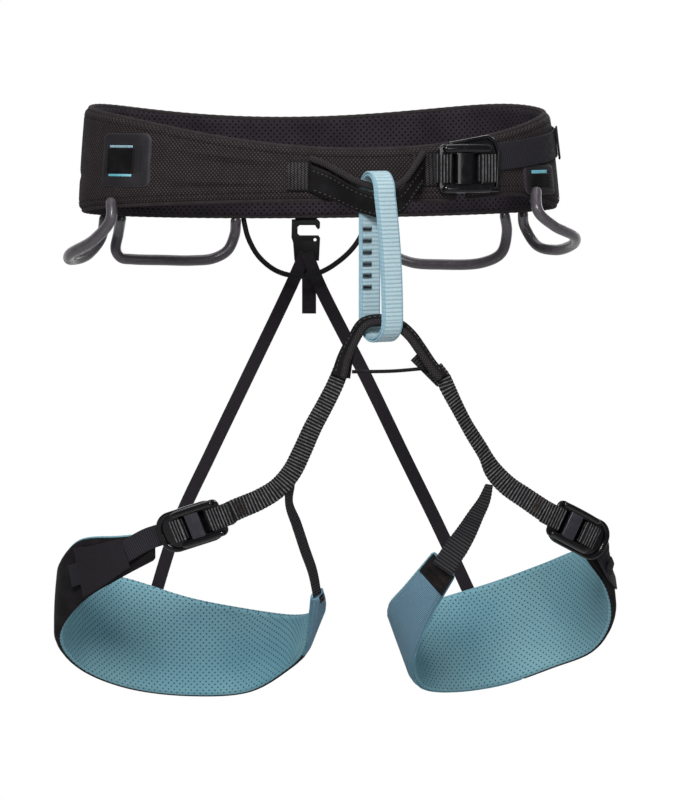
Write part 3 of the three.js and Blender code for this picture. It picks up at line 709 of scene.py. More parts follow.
FLOOR_HEIGHT = -2.6
FLOOR_HALF = 6
floor_corners = [(x * FLOOR_HALF / MM, y * FLOOR_HALF / MM, FLOOR_HEIGHT / MM)
                 for x, y in ((-1, -1), (1, -1), (1, 1), (-1, 1))]
floor_look = Nodes("floor", (0.9, 0.9, 0.9), 0.9)
floor_look.shader.inputs["Emission Color"].default_value = (1, 1, 1, 1)
floor_look.shader.inputs["Emission Strength"].default_value = 0.15
mesh_object("floor", floor_corners, [[0, 1, 2, 3]], "floor")


# ---- Waistbelt ----

BELT_HALF_WIDTH_LEFT = 172.5
BELT_HALF_WIDTH_RIGHT = 169.5
BELT_HALF_DEPTH = 95
BELT_FLARE = 0.07
BELT_SIDE_FLARE = 0.05      # and this much more at the right


def belt_half_width(angle):
    return np.where(np.sin(angle) < 0, BELT_HALF_WIDTH_LEFT, BELT_HALF_WIDTH_RIGHT)


def belt_flare(angle):
    return BELT_FLARE + BELT_SIDE_FLARE * np.maximum(np.sin(angle), 0) ** 3


def belt_edge(angle, top):
    c = np.cos(angle - BELT_TURN)
    if top:
        return 40 - 10.5 * c - 21.5 * c * c - 3.8 * np.exp(-5 * c * c)
    lift = (angle - math.radians(56)) / math.radians(17)
    return -36 + 9.25 * c + 6 * np.exp(-lift * lift)


def belt_normal(angle):
    n = np.stack([np.sin(angle) / belt_half_width(angle), -np.cos(angle) / BELT_HALF_DEPTH, 0 * angle], -1)
    return unit(n)


def belt_at(angle, z, offset=0.0):
    angle, z = np.broadcast_arrays(np.asarray(angle, float), np.asarray(z, float))
    grow = -z * belt_flare(angle)
    point = np.stack([(belt_half_width(angle) + grow) * np.sin(angle),
                      -(BELT_HALF_DEPTH + grow) * np.cos(angle), z], -1)
    return point + belt_normal(angle) * np.asarray(offset)[..., None]


BELT_START = BELT_GAP + BELT_GAP_HALF
BELT_SWEEP = 2 * math.pi - 2 * BELT_GAP_HALF


def belt_angle(t):
    return BELT_START + BELT_SWEEP * t


def belt_edges(t):
    angle = belt_angle(t)
    return belt_at(angle, belt_edge(angle, False)), belt_at(angle, belt_edge(angle, True))


def belt_share(degrees):
    return ((math.radians(degrees) - BELT_START) % (2 * math.pi)) / BELT_SWEEP


def ridge(t, v, ends, heights, width):
    """A fold of cloth along a line on the band, fading out at both ends."""
    along = np.clip((t - ends[0]) / (ends[1] - ends[0]), 0, 1)
    line = heights[0] + (heights[1] - heights[0]) * along
    fade = np.sin(np.pi * along) ** 0.7
    return fade * np.exp(-((v - line) / width) ** 2)


BELT_EDGE_ROLL = 5.0        # the cloth is turned over the edge and sewn down this far in
BELT_FOLDS = [
    # ends in degrees, heights from and to, width, rise in millimetres
    ((-38, -8), (0.74, 0.70), 0.03, 1.62), ((-36, -8), (0.63, 0.60), 0.024, -1.26),
    ((-42, -10), (0.20, 0.24), 0.03, -1.44), ((-40, -10), (0.29, 0.31), 0.03, 1.08),
    ((28, 37), (0.75, 0.70), 0.03, 1.08), ((48, 68), (0.30, 0.38), 0.036, -0.9),
    ((-96, -72), (0.35, 0.30), 0.036, -0.9), ((100, 128), (0.55, 0.60), 0.036, -0.9),
]


def belt_outer_relief(u, v_mm, t, v):
    lift = 0.5 * np.sin(np.pi * np.clip(v, 0, 1)) + 0 * u
    for degrees, heights, width, rise in BELT_FOLDS:
        ends = [belt_share(d) for d in degrees]
        lift = lift + rise * ridge(t, v, ends, heights, width)
    seam = np.exp(-((v_mm - BELT_EDGE_ROLL) / 0.9) ** 2)
    tall = v_mm / np.maximum(v, 1e-6)
    seam = seam + np.exp(-((tall - v_mm - BELT_EDGE_ROLL) / 0.9) ** 2)
    return lift - 0.7 * np.clip(seam, 0, 1)


belt_band = Band(belt_edges)
belt_swell = settle("belt_cover", belt_band, BELT_OUTSIDE, 1.5, 0.8)
belt_outer = skin("waistbelt_outer", belt_band, 1, BELT_OUTSIDE, belt_outer_relief, belt_swell,
                  "outer_mesh", 1.3)
finish_piece(belt_outer, "waistbelt", ["waist_shell", "waist_foam"], "belt_fabric")


def holes_relief(depth):
    return lambda u, v_mm, t, v: -depth * dimples(u, v_mm)


belt_inner = skin("waistbelt_lining", belt_band, -1, BELT_OUTSIDE, holes_relief(0.5), belt_swell,
                  "belt_lining", 0.95)
finish_piece(belt_inner, "waistbelt", ["waist_liner"], "belt_liner")


belt_stitches = edge_stitches(belt_band, (BELT_EDGE_ROLL, -BELT_EDGE_ROLL), (1,), BELT_OUTSIDE + 0.1,
                              6, 2.4, 1.4)
finish_piece(threads("waistbelt_stitches", belt_stitches, 0.22, "piping"), "waistbelt")

FOLD_RADIUS = 1.9
for name, share in (("lower", 0.0), ("upper", 1.0)):
    points = belt_band.at(np.linspace(0.001, 0.999, 120), np.full(120, share), np.zeros(120))
    facing = catmull(belt_normal(belt_angle(np.linspace(0, 1, 60))), np.linspace(0, 1, 120))
    edge_route = Route(points, facing)
    cord = tube(f"waistbelt_{name}_edge", edge_route, FOLD_RADIUS, "hem_mesh", 1.6, 12,
                lambda s, a: 0.10 * np.sin(2 * np.pi * s / 7.0) + 0 * a)
    finish_piece(cord, "waistbelt", slot="belt_fabric")


# Sewn fields and patches on the belt.

def belt_place(lift):
    """place(degrees, heights) on the belt's outer face."""
    return lambda degrees, z: belt_at(np.radians(degrees), z, np.full(len(degrees), lift))


def patch(name, from_degrees, to_degrees, low, high, look, lift, thickness=1.3, corner=4.0):
    """A cloth patch with rounded corners that follows the belt."""
    middle = math.radians((from_degrees + to_degrees) / 2)
    radius = float(belt_half_width(middle))
    scale = math.hypot(radius * math.cos(middle), BELT_HALF_DEPTH * math.sin(middle))
    half = math.radians(to_degrees - from_degrees) / 2 * scale
    s = np.concatenate([[-half], np.linspace(-half + 0.2, half - 0.2, 40), [half]])
    cut = corner - np.sqrt(np.clip(corner ** 2 - np.clip(np.abs(s) - (half - corner), 0, None) ** 2, 0, None))
    rows = []
    for x, inset in zip(s, cut):
        angle = middle + x / scale
        bottom, top = low + inset, high - inset
        z = np.linspace(bottom + 0.6, top - 0.6, 14)
        outer_z = np.concatenate([[bottom], z, [top]])
        dome = np.full(16, lift + thickness)
        dome[[0, -1]] = lift + 0.2
        if abs(x) > half - 0.3:
            dome[:] = lift + 0.2
        back = np.array([top, bottom])
        rows.append(np.concatenate([belt_at(np.full(16, angle), outer_z, dome),
                                    belt_at(np.full(2, angle), back, np.full(2, lift))]))
    rings = np.array(rows)
    v = np.concatenate([np.linspace(low, high, 16), [high, low, low]])
    uv = np.stack(np.broadcast_arrays(s[:, None], v[None]), 2) * MM
    return loft(name, rings, uv, look)


def sewn_field(name, from_degrees, to_degrees, low, high, lift, columns, node):
    """Columns of dense zigzag stitching over a plain patch."""
    base = patch(f"{name}_base", from_degrees, to_degrees, low, high, "piping", lift, 0.8, 1.5)
    place = belt_place(lift + 1.0)
    runs = []
    width = (to_degrees - from_degrees) / columns
    for k in range(columns):
        left = from_degrees + (k + 0.15) * width
        right = left + 0.7 * width
        runs.append(zigzag(lambda z, d: place(d, z), low + 0.8, high - 0.8, left, right, 1.5))
    sewing = threads(f"{name}_sewing", runs, 0.22, "thread")
    finish_piece(base, "waistbelt", [node], "webbing")
    finish_piece(sewing, "waistbelt", slot="webbing")


sewn_field("tie_in_field_left", -7.6, -2.6, -21, 1, BELT_OUTSIDE + GAP, 6, "tie_in_anchor_left")
sewn_field("tie_in_field_right", 22.6, 30.0, -18, 7, BELT_OUTSIDE + GAP, 7, "tie_in_anchor_right")


TAB_ACROSS = (0.14, 0.72)   # the raised middle's sides, as shares of the patch
TAB_MARGIN = (0.26, 0.28)   # and its distance from the patch's lower and upper edges
SLOT_MARGIN = (0.22, 0.25)
STITCH_COLUMNS = (0.10, 0.76, 0.83)


def clip_patch(name, from_degrees, to_degrees, low, high, node, slots=2, slot_half=0.9):
    """Rounded patch with a raised middle, pale slots above and below it, and rows of stitching."""
    lift = BELT_OUTSIDE + GAP
    rim = joined(f"{name}_rim", [
        patch(f"{name}_border", from_degrees, to_degrees, low, high, "rim", lift, 0.8, 5.0),
        patch(f"{name}_field", from_degrees + 0.5, to_degrees - 0.5, low + 0.8, high - 0.8,
              "field", lift + 0.4, 0.6, 4.5)])
    finish_piece(rim, "waistbelt", [node], "reinforcement")
    inner_from, inner_to = (from_degrees + share * (to_degrees - from_degrees) for share in TAB_ACROSS)
    tall = high - low
    raised = patch(f"{name}_tab", inner_from, inner_to, low + TAB_MARGIN[0] * tall,
                   high - TAB_MARGIN[1] * tall, "leather", lift + 1.0, 1.1, 1.0)
    finish_piece(raised, "waistbelt", slot="reinforcement")
    for k in range(slots):
        z = (high - SLOT_MARGIN[1] * tall) if k == 0 else (low + SLOT_MARGIN[0] * tall)
        shift = 0.08 * (inner_to - inner_from)
        look = "teal_thread" if k or slots == 1 else "belay"
        bar = patch(f"{name}_slot_{k + 1}", inner_from + shift, inner_to - shift, z - slot_half,
                    z + slot_half, look, lift + 1.0, 0.5, 0.4)
        finish_piece(bar, "waistbelt", slot="pad_fabric")
    place = belt_place(lift + 1.25)
    runs = []
    for share in STITCH_COLUMNS:
        degrees = from_degrees + share * (to_degrees - from_degrees)
        for z in np.arange(low + 0.22 * tall, high - 0.24 * tall, 2.2):
            runs.append(place(np.full(3, degrees), np.linspace(z, z + 1.4, 3)))
    finish_piece(threads(f"{name}_stitches", runs, 0.45, "black_thread"), "waistbelt")


clip_patch("ice_patch_front_left", -63.5, -43.8, -19, 20, "ice_clip_patch_front_left")
clip_patch("ice_patch_front_right", 58, 77, -25, -3, "ice_clip_patch_front_right", 1, 1.5)
clip_patch("ice_patch_rear_left", -118, -104, -24, 10, "ice_clip_patch_rear_left")
clip_patch("ice_patch_rear_right", 122, 136, -24, 10, "ice_clip_patch_rear_right")


# ---- Tie-in strip ----

TIE_IN_TOP = [(-8, -102.6, -1), (7, -107, -7), (22, -113, -15.5), (39, -118, -21.5),
              (55, -116, -21), (66, -107, -9), (74.5, -94.4, 3)]
TIE_IN_BOTTOM = [(-8, -102.6, -21), (11, -107, -28), (27, -113, -35), (43, -118, -39),
                 (58, -116.5, -36), (67, -108, -24), (74.5, -95.4, -13)]
tie_band = Band(lambda t: (catmull(TIE_IN_BOTTOM, t), catmull(TIE_IN_TOP, t)))


def no_swell(side, t, v):
    return np.zeros((len(t), len(v)))


def flat_relief(u, v_mm, t, v):
    return 0 * u * v_mm


def thin_strip(name, band, thickness, look, step=1.5):
    halves = [skin(f"{name}_{side}", band, side, thickness / 2, flat_relief, no_swell, look, step)
              for side in (1, -1)]
    return joined(name, halves)


strip = thin_strip("tie_in_strip", tie_band, 2.2, "leather")
strip_stitches = edge_stitches(tie_band, (2.6, -4.0), (1, -1), 1.2, 4, 1.9, 1.7)
sewing = threads("tie_in_strip_sewing", strip_stitches, 0.19, "thread")
finish_piece(strip, "waistbelt", ["tie_in_strip"], "reinforcement")
finish_piece(sewing, "waistbelt", slot="webbing")


def braid(size):
    """Woven cover of a roll."""
    return lambda s, a: size * np.sin(8 * a + 2 * np.pi * s / 3.4) * np.cos(2 * np.pi * s / 1.7)


roll_points = catmull(TIE_IN_TOP, np.linspace(0, 1, 9)) + [0, 0, ROLL_RADIUS + 1.7]
roll = tube("tie_in_roll", Route(roll_points), ROLL_RADIUS, "roll", 0.5, 32, braid(0.06))
finish_piece(roll, "waistbelt", ["tie_in_roll"], "webbing")


# ---- Buckles ----

BAR_EDGES = {"left": (-14, -8), "right": (3.5, 11.5)}
PLATE_LEFT = -21.5
PLATE_RIGHT = 22
PLATE_THICKNESS = 2.4
WRAP_THICKNESS = 1.3
WRAP_RIB = 0.2
WRAP_END = 25
BACK_LOW = -WRAP_THICKNESS - 1 - 1.6


def rounded_outline(left, bottom, right, top, radius, steps=6):
    corners = ((right - radius, bottom + radius, -90), (right - radius, top - radius, 0),
               (left + radius, top - radius, 90), (left + radius, bottom + radius, 180))
    return [(x + radius * math.cos(math.radians(a)), y + radius * math.sin(math.radians(a)))
            for x, y, start in corners for a in np.linspace(start, start + 90, steps)]


def cut_plate(name, outlines, low, thickness, bevel, look):
    """Flat plate with bevelled edges: the first outline is its rim, the others are holes."""
    curve = bpy.data.curves.new(name, "CURVE")
    curve.dimensions = "2D"
    curve.fill_mode = "BOTH"
    curve.extrude = (thickness / 2 - bevel) * MM
    curve.bevel_depth = bevel * MM
    curve.bevel_resolution = 3
    curve.offset = -bevel * MM
    for outline in outlines:
        spline = curve.splines.new("POLY")
        spline.points.add(len(outline) - 1)
        spline.use_cyclic_u = True
        for point, (x, y) in zip(spline.points, outline):
            point.co = (x * MM, y * MM, 0, 1)
    maker = bpy.data.objects.new(name, curve)
    scene.collection.objects.link(maker)
    mesh = bpy.data.meshes.new_from_object(maker.evaluated_get(bpy.context.evaluated_depsgraph_get()))
    bpy.data.objects.remove(maker)
    mesh.transform(Matrix.Translation((0, 0, (low + thickness / 2) * MM)))
    mesh.materials.clear()
    mesh.materials.append(MATERIALS[look])
    for polygon in mesh.polygons:
        polygon.use_smooth = True
    obj = bpy.data.objects.new(name, mesh)
    scene.collection.objects.link(obj)
    weld_and_shade(obj)
    return obj


def weld_and_shade(obj, angle=40):
    bpy.ops.object.select_all(action="DESELECT")
    obj.select_set(True)
    bpy.context.view_layer.objects.active = obj
    bpy.ops.object.mode_set(mode="EDIT")
    bpy.ops.mesh.select_all(action="SELECT")
    bpy.ops.mesh.remove_doubles(threshold=1e-6)
    bpy.ops.mesh.normals_make_consistent(inside=False)
    bpy.ops.object.mode_set(mode="OBJECT")
    bpy.ops.object.shade_smooth_by_angle(angle=math.radians(angle))


RAIL_ROUND = 0.42           # a rail's radius for each millimetre of its width


def rail(name, x_from, x_to, y, width, height, base, arch):
    """Rounded bar along a buckle's edge, arched away from the plate in the middle."""
    x = np.linspace(x_from, x_to, 9)
    bow = arch * (1 - ((x - x.mean()) / (x.max() - x.mean())) ** 2)
    points = np.stack([x, np.full(9, y) + np.sign(y) * bow * 0.5, base + height / 2 + bow], 1)
    return tube(name, Route(points, (0, 0, 1)), RAIL_ROUND * width, "buckle", 1.0, squash=height / width)


def wrap_route(side, scale, sewn_on):
    """Webbing round a bar: its ends meet behind the bar, or lie on both sides of a strap."""
    reach = 1 if side == "left" else -1
    slot_edge = BAR_EDGES[side][0 if side == "left" else 1] * scale
    rim = (PLATE_LEFT if side == "left" else PLATE_RIGHT) * scale
    clear = WRAP_THICKNESS / 2 + 0.4
    back, front = -clear, PLATE_THICKNESS + clear
    middle = PLATE_THICKNESS / 2
    turn = [(slot_edge - reach * 2, 0, back), (slot_edge + reach * 0.3, 0, back - 0.05),
            (slot_edge + reach * clear, 0, middle),
            (slot_edge + reach * 0.3, 0, front + 0.05), (slot_edge - reach * 2, 0, front)]
    if sewn_on:
        far = -reach * (WRAP_END * scale + 4)
        close = WEBBING / 2 + WRAP_THICKNESS / 2 + 0.35
        return [(far, 0, middle - close), (rim - reach * 2, 0, back), *turn,
                (rim - reach * 2, 0, front), (far, 0, middle + close)]
    seam = (slot_edge + rim) / 2
    return [(seam + reach * 0.6, 0, back), *turn, (rim + reach * 1.2, 0, front),
            (rim - reach * 0.3, 0, front - 0.2), (rim - reach * clear, 0, middle),
            (rim - reach * 0.3, 0, back + 0.2), (seam - reach * 0.6, 0, back)]


def scaled_outline(outline, share):
    middle = np.mean(outline, axis=0)
    return [tuple(middle + (np.array(p) - middle) * share) for p in outline]


def buckle(prefix, origin, along, outward, scale, half_height, strap_width, back_outline, parent, body,
           sewn_side=None, bar_look="bar"):
    """Slotted front frame with rails, backing plate and the webbing round both bars."""
    along, outward = (Vector(x).normalized() for x in (along, outward))
    outward = (outward - along * outward.dot(along)).normalized()
    up = outward.cross(along)
    matrix = Matrix((along, up, outward)).transposed().to_4x4()
    matrix.translation = Vector(origin) * MM
    slot_half = strap_width / 2 + 0.8
    holes = [rounded_outline(a * scale, -slot_half, b * scale, slot_half, 1, 4)
             for a, b in BAR_EDGES.values()]
    rim = rounded_outline(PLATE_LEFT * scale, -half_height, PLATE_RIGHT * scale, half_height, 5)
    plate = cut_plate(f"{prefix}_plate", [rim, *holes], 0, PLATE_THICKNESS, 0.6, "buckle")
    rail_width = half_height - slot_half
    rails = [rail(f"{prefix}_rail_{k}", (PLATE_LEFT + 3) * scale, (PLATE_RIGHT - 3) * scale,
                  y * (half_height - rail_width / 2), rail_width, 4.2, PLATE_THICKNESS - 0.9, 0.8)
             for k, y in enumerate((1, -1))]
    bar_middle = (BAR_EDGES["left"][1] + BAR_EDGES["right"][0]) / 2 * scale
    bar_half = (BAR_EDGES["right"][0] - BAR_EDGES["left"][1]) / 2 * scale
    bar_rim = rounded_outline(bar_middle - bar_half, -slot_half - 1,
                              bar_middle + bar_half, slot_half + 1, 1.2)
    bar = cut_plate(f"{prefix}_bar", [bar_rim], PLATE_THICKNESS - 0.5, 2.2, 0.6, bar_look)
    front = joined(f"{prefix}_frame", [plate, *rails, bar])
    dish = cut_plate(f"{prefix}_dish", [scaled_outline(back_outline, 0.93)], BACK_LOW, 1.4, 0.4,
                     "buckle")
    border = cut_plate(f"{prefix}_border", [back_outline, scaled_outline(back_outline, 0.84)],
                       BACK_LOW - 0.2, 3.2, 1.0, "buckle")
    backing = joined(f"{prefix}_backing", [dish, border])
    pieces = [(front, body, [f"{prefix}_front_plate"], "buckle_alloy"),
              (backing, parent, [f"{prefix}_back_plate"], "buckle_alloy")]
    for side in ("left", "right"):
        route = Route(wrap_route(side, scale, side == sewn_side), side=(0, 1, 0), slope=0.004)
        # The wraps carry the painted rib highlights.
        wrap = strap(f"{prefix}_webbing_{side}", route, strap_width, WRAP_THICKNESS, "rib_highlight_webbing",
                     height=WRAP_RIB)
        pieces.append((wrap, body, [f"{prefix}_wrap_{side}"], "webbing"))
    for obj, rides_on, nodes, slot in pieces:
        obj.data.transform(matrix)
        finish_piece(obj, rides_on, nodes, slot)


waist_normal = belt_normal(np.array(BELT_GAP))
waist_along = np.cross([0, 0, 1], waist_normal)
buckle("waist_buckle", belt_at(BELT_GAP, -5, BELT_OUTSIDE + 5.6), waist_along, waist_normal, 1, 17.5,
       WAIST_WEBBING_WIDTH,
       [(-12, -17), (27, -17), (28, 12), (25, 20), (19, 24), (-12, 19)], "waistbelt", "waist_buckle",
       bar_look="buckle")


# ---- Waist strap's tail and keeper ----

TAIL_START = 47.6           # degrees round the belt
TAIL_START_HEIGHT = 2.8
TAIL_RISE = 0.247           # upwards for each degree


def belt_run(from_degrees, to_degrees, offset, count):
    degrees = np.linspace(from_degrees, to_degrees, count)
    height = TAIL_START_HEIGHT + (degrees - TAIL_START) * TAIL_RISE
    angle = np.radians(degrees)
    facing = belt_normal(angle) + np.array([0, 0, 1.0]) * belt_flare(angle)[:, None]
    return Route(belt_at(angle, height, np.full(count, offset)), facing)


TAIL_OFFSET = BELT_OUTSIDE + 3 * GAP + WEBBING / 2
tail = strap("waist_tail_strap", belt_run(TAIL_START, 100, TAIL_OFFSET, 8), WAIST_WEBBING_WIDTH, WEBBING,
             "tail_webbing", 1.6, 0.09)
keeper = strap("waist_strap_keeper", belt_run(84, 89, TAIL_OFFSET + WEBBING + 0.4, 4), 24, 1.4,
               "elastic", 1.1, 0.06)
finish_piece(tail, "waistbelt", ["waist_tail_strap"], "webbing")
finish_piece(keeper, "waistbelt", ["waist_strap_keeper"], "webbing")


# ---- Gear loops and haul loop ----

GEAR_LOOPS = {
    "gear_loop_front_left": [
        (-149, -61, -24), (-151.5, -60, -42), (-164, -47, -57), (-184, -17, -69),
        (-186, 13, -75), (-175, 38, -72), (-166, 48, -60), (-161.5, 50, -28)],
    "gear_loop_front_right": [
        (154, -59, -26), (158, -58, -36), (170, -45, -47), (187, -16, -56),
        (188, 16, -64), (177, 42, -69), (164, 56, -66), (155, 62, -52), (151, 64, -28)],
    "gear_loop_rear_left": [
        (-150, 66, -28), (-154.2, 68, -58), (-156.3, 70, -70), (-152.4, 73, -76.2), (-143.7, 77, -77.7),
        (-121.7, 86, -78.7), (-98.6, 96, -79.5), (-83, 101, -78.1), (-72.1, 102.5, -72), (-66.6, 103, -60),
        (-65, 102, -30)],
    "gear_loop_rear_right": [
        (138, 74, -28), (142, 74, -58), (138, 78, -73), (124, 83, -80.5), (92, 94, -82.5),
        (69, 102, -81), (55, 106, -74), (50, 107, -60), (49, 105, -30)],
}


HEM_OUT = 2.5               # the hem stands this far outside the belt's middle line
LOOP_START_FRONT = (-6.0, 4.8)      # below the hem, and out from the belt's middle
LOOP_START_BEHIND = (1.0, 0.3)


def hem_point(x, y, below, offset=0.0):
    """Point under the belt's lower hem at a place x, in front or behind by the sign of y."""
    half_width = BELT_HALF_WIDTH_LEFT if x < 0 else BELT_HALF_WIDTH_RIGHT
    angle = math.asin(x / (half_width + HEM_OUT))
    if y > 0:
        angle = math.pi - angle
    return belt_at(angle, belt_edge(angle, False) - below, offset)


for name, points in GEAR_LOOPS.items():
    cores = []
    middle = [np.array(p, float) for p in points[1:-1]]
    for end in (points[0], points[-1]):
        top = hem_point(end[0], end[1], -7)
        leave = hem_point(end[0], end[1], 5, 0.6)
        cores.append(strap(f"{name}_core", Route([top, (top + leave) / 2, leave], (0.3, -1, 0)), 5, 2.0,
                           "webbing"))
    starts = [hem_point(end[0], end[1], *(LOOP_START_FRONT if end[1] < -50 else LOOP_START_BEHIND))
              for end in (points[0], points[-1])]
    loop = tube(f"{name}_tube", Route([starts[0], *middle, starts[1]], (0.1, -0.99, 0.1)), GEAR_TUBE_RADIUS,
                "tube", 1.5, 28, lambda s, a: 0.10 * np.cos(8 * a))
    finish_piece(joined(f"{name}_tube", [loop, *cores]), name, [name], "loop_tube")

HAUL_POINTS = [(-60, 98, -46), (-56, 96.5, -62), (-48, 92, -76), (-36, 87, -86), (-25, 84.5, -90),
               (-12, 84, -91), (2, 84.5, -87), (16, 88, -78), (26, 92.5, -68), (33, 96.5, -56), (36, 98, -46)]
haul = tube("haul_loop_cord", Route(HAUL_POINTS), 2.0, "cord", 0.6, 20, braid(0.04))
finish_piece(haul, "haul_loop", ["haul_loop"], "webbing")


# ---- Belay loop ----

BELAY_CENTRE = np.array([43.5, -118, -66.7])
BELAY_LENGTH = 121
BELAY_GAP = 28.5
BELAY_WIDTH = 17
BELAY_LEAN = 5.5            # the front strand's top hangs this far to the left
BELAY_LAYER = 1.6
BELAY_TURN = math.radians(34)
belay_out = np.array([math.sin(BELAY_TURN), -math.cos(BELAY_TURN), 0])
belay_side = np.array([math.cos(BELAY_TURN), math.sin(BELAY_TURN), 0])
BELAY_HALF = BELAY_LENGTH / 2 - BELAY_GAP / 2 - BELAY_LAYER


def belay_path(s, radius):
    """Points and outward directions round a ring of two straight strands with round ends."""
    straight, turn = 2 * BELAY_HALF, math.pi * radius
    s = np.mod(s, 2 * (straight + turn))
    half = s >= straight + turn
    s = np.where(half, s - straight - turn, s)
    sign = np.where(half, -1.0, 1.0)
    angle = np.clip((s - straight) / radius, 0, math.pi)
    across, up = np.cos(angle), np.sin(angle)
    height = np.where(s < straight, -BELAY_HALF + s, BELAY_HALF)
    outward = belay_out * (sign * across)[:, None] + np.array([0, 0, 1.0]) * (sign * up)[:, None]
    centre = BELAY_CENTRE + np.array([0, 0, 1.0]) * (sign * height)[:, None]
    up_share = np.clip((sign * height / BELAY_HALF + 1) / 2, 0, 1) ** 2
    front_share = (1 + sign * across) / 2
    lean = np.array([-BELAY_LEAN, 0, 0]) * (up_share * front_share)[:, None]
    return centre + outward * radius + lean, outward


def belay_ring(name, radius, node):
    total = 2 * (2 * BELAY_HALF + math.pi * radius)
    count = round(total / BELAY_RIB) * 7
    pitch = total / (count / 7)
    s = np.arange(count) * total / count
    point, outward = belay_path(s, radius)
    side = np.broadcast_to(belay_side, point.shape)
    relief = ribs(s, pitch, 0.11)
    rings, uv = strap_rings(s, point, side, outward, BELAY_WIDTH, BELAY_LAYER, relief)
    uv = np.concatenate([uv, uv[:1] + [total * MM, 0]], 0)
    obj = loft(name, rings, uv, "belay", closed=True)
    finish_piece(obj, "belay_loop", [node], "belay_webbing")


belay_step = (BELAY_LAYER + GAP) / 2
belay_ring("belay_loop_outer_ring", BELAY_GAP / 2 + belay_step, "belay_loop_outer")
belay_ring("belay_loop_inner_ring", BELAY_GAP / 2 - belay_step, "belay_loop_inner")

TACK_ROWS = 6
TACK_PITCH = 8.3
TACK_TOP = -47.5
tack_runs = []
for row in range(TACK_ROWS):
    z = TACK_TOP - row * TACK_PITCH
    inner_face = BELAY_CENTRE - belay_out * (BELAY_GAP / 2 - belay_step - BELAY_LAYER / 2 - 0.25)
    x = np.linspace(-7.4, 0.6, 17)
    wobble = np.where(np.arange(17) % 2, 1.7, -1.7)
    tack_runs.append(np.array([inner_face[0], inner_face[1], z]) + belay_side * x[:, None]
                     + np.array([0, 0, 1.0]) * wobble[:, None])
finish_piece(threads("belay_loop_tacks", tack_runs, 0.38, "black_thread"), "belay_loop")


# ---- Leg bridge ----

ARCH_LINE = [(15, -152), (18.5, -138), (24, -125.5), (31.5, -114.3), (43.5, -112),
             (56, -115.5), (64.5, -122.5), (71.5, -132), (78.5, -142.5), (87, -153)]
ARCH_Y = -116
ARCH_THICKNESS = 2.6
arch_route = Route([(x, ARCH_Y, z) for x, z in ARCH_LINE])


def arch_width(t):
    return 9 + 5 * np.maximum(0, 1 - 4 * t)


arch = strap("leg_bridge_arch", arch_route, arch_width, ARCH_THICKNESS, "leather", 3, 0.0)
arch_runs = []
for face in (1, -1):
    for share in (0.33, -0.33):
        def arch_place(s, extra, face=face, share=share):
            point, side, normal = arch_route.at(s)
            width = arch_width(s / arch_route.length)[:, None]
            return point + side * share * width + face * normal * (ARCH_THICKNESS / 2 + 0.1 + extra[:, None])
        arch_runs += stitch_runs(arch_place, 3, arch_route.length - 3, 1.9, 1.4)
finish_piece(arch, "leg_bridge", ["leg_bridge_arch"], "reinforcement")
finish_piece(threads("leg_bridge_sewing", arch_runs, 0.18, "thread"), "leg_bridge")

BRIDGE_ROLL = 2.6
bridge_y = ARCH_Y - ARCH_THICKNESS / 2 - BRIDGE_ROLL - GAP
bridge_points = [(x + (1.5 if x < 43 else -1), bridge_y, z - 1.2) for x, z in ARCH_LINE]
bridge_roll = tube("leg_bridge_roll", Route(bridge_points), BRIDGE_ROLL, "roll", 0.5, 32, braid(0.06))
finish_piece(bridge_roll, "leg_bridge", ["leg_bridge_roll"], "webbing")

SMALL_STRAPS = [
    # piece, points, facing, width, thickness, look, body, node
    ("leg_bridge_cross_strap", [(23, -112, -149), (52, -112, -148.5), (76, -112, -146.5)], (0, 0, 1),
     4.5, 2.4, "leather", "leg_bridge"),
    ("leg_bridge_tab", [(68, -108, -138), (77, -108, -147), (87, -108, -157)], (0, -1, 0),
     9, WEBBING, "webbing", "leg_bridge"),
    ("rear_anchor_tab", [(-11.5, 104.8, -34), (-11.5, 105.4, -41), (-11.5, 105.1, -51.5)], (0, 1, 0),
     17, 1.2, "webbing", "waistbelt"),
    ("rear_hook_tail", [(-9.2, 104.6, -72), (-9.2, 104.6, -96), (-9.2, 104.6, -121)], (0, 1, 0),
     11, WEBBING, "elastic", "leg_bridge"),
]
for name, points, facing, width, thickness, look, body in SMALL_STRAPS:
    piece = strap(f"{name}_strap", Route(points, facing), width, thickness, look, 1.4, 0.07)
    finish_piece(piece, body, [name], "webbing")


# ---- Rear hook and risers ----

HOOK_Y = 102.4
HOOK_THICKNESS = 2.2
HOOK_OUTLINE = [
    (-22.5, -48), (-2.5, -48), (-0.7, -50), (-0.7, -54.5), (-2, -56), (-3.5, -54.5), (-4.5, -52.6),
    (-16.5, -52.6), (-18, -54), (-18, -59), (-16.5, -60.4), (-2, -60.4), (-0.6, -62.4),
    (-1.5, -80), (-20.5, -80), (-21.5, -66), (-22.8, -62)]
EYELET = [(-4.6 + 1.2 * math.cos(a), -63.8 + 1.2 * math.sin(a)) for a in np.linspace(0, 2 * math.pi, 17)[:16]]
hook = cut_plate("rear_hook_plate", [HOOK_OUTLINE, EYELET], -HOOK_THICKNESS / 2, HOOK_THICKNESS, 0.4,
                 "hook")
hook.data.transform(Matrix.Translation((0, HOOK_Y * MM, 0)) @ Matrix.Rotation(math.pi / 2, 4, "X"))
finish_piece(hook, "leg_bridge", ["rear_hook"], "hook_plastic")

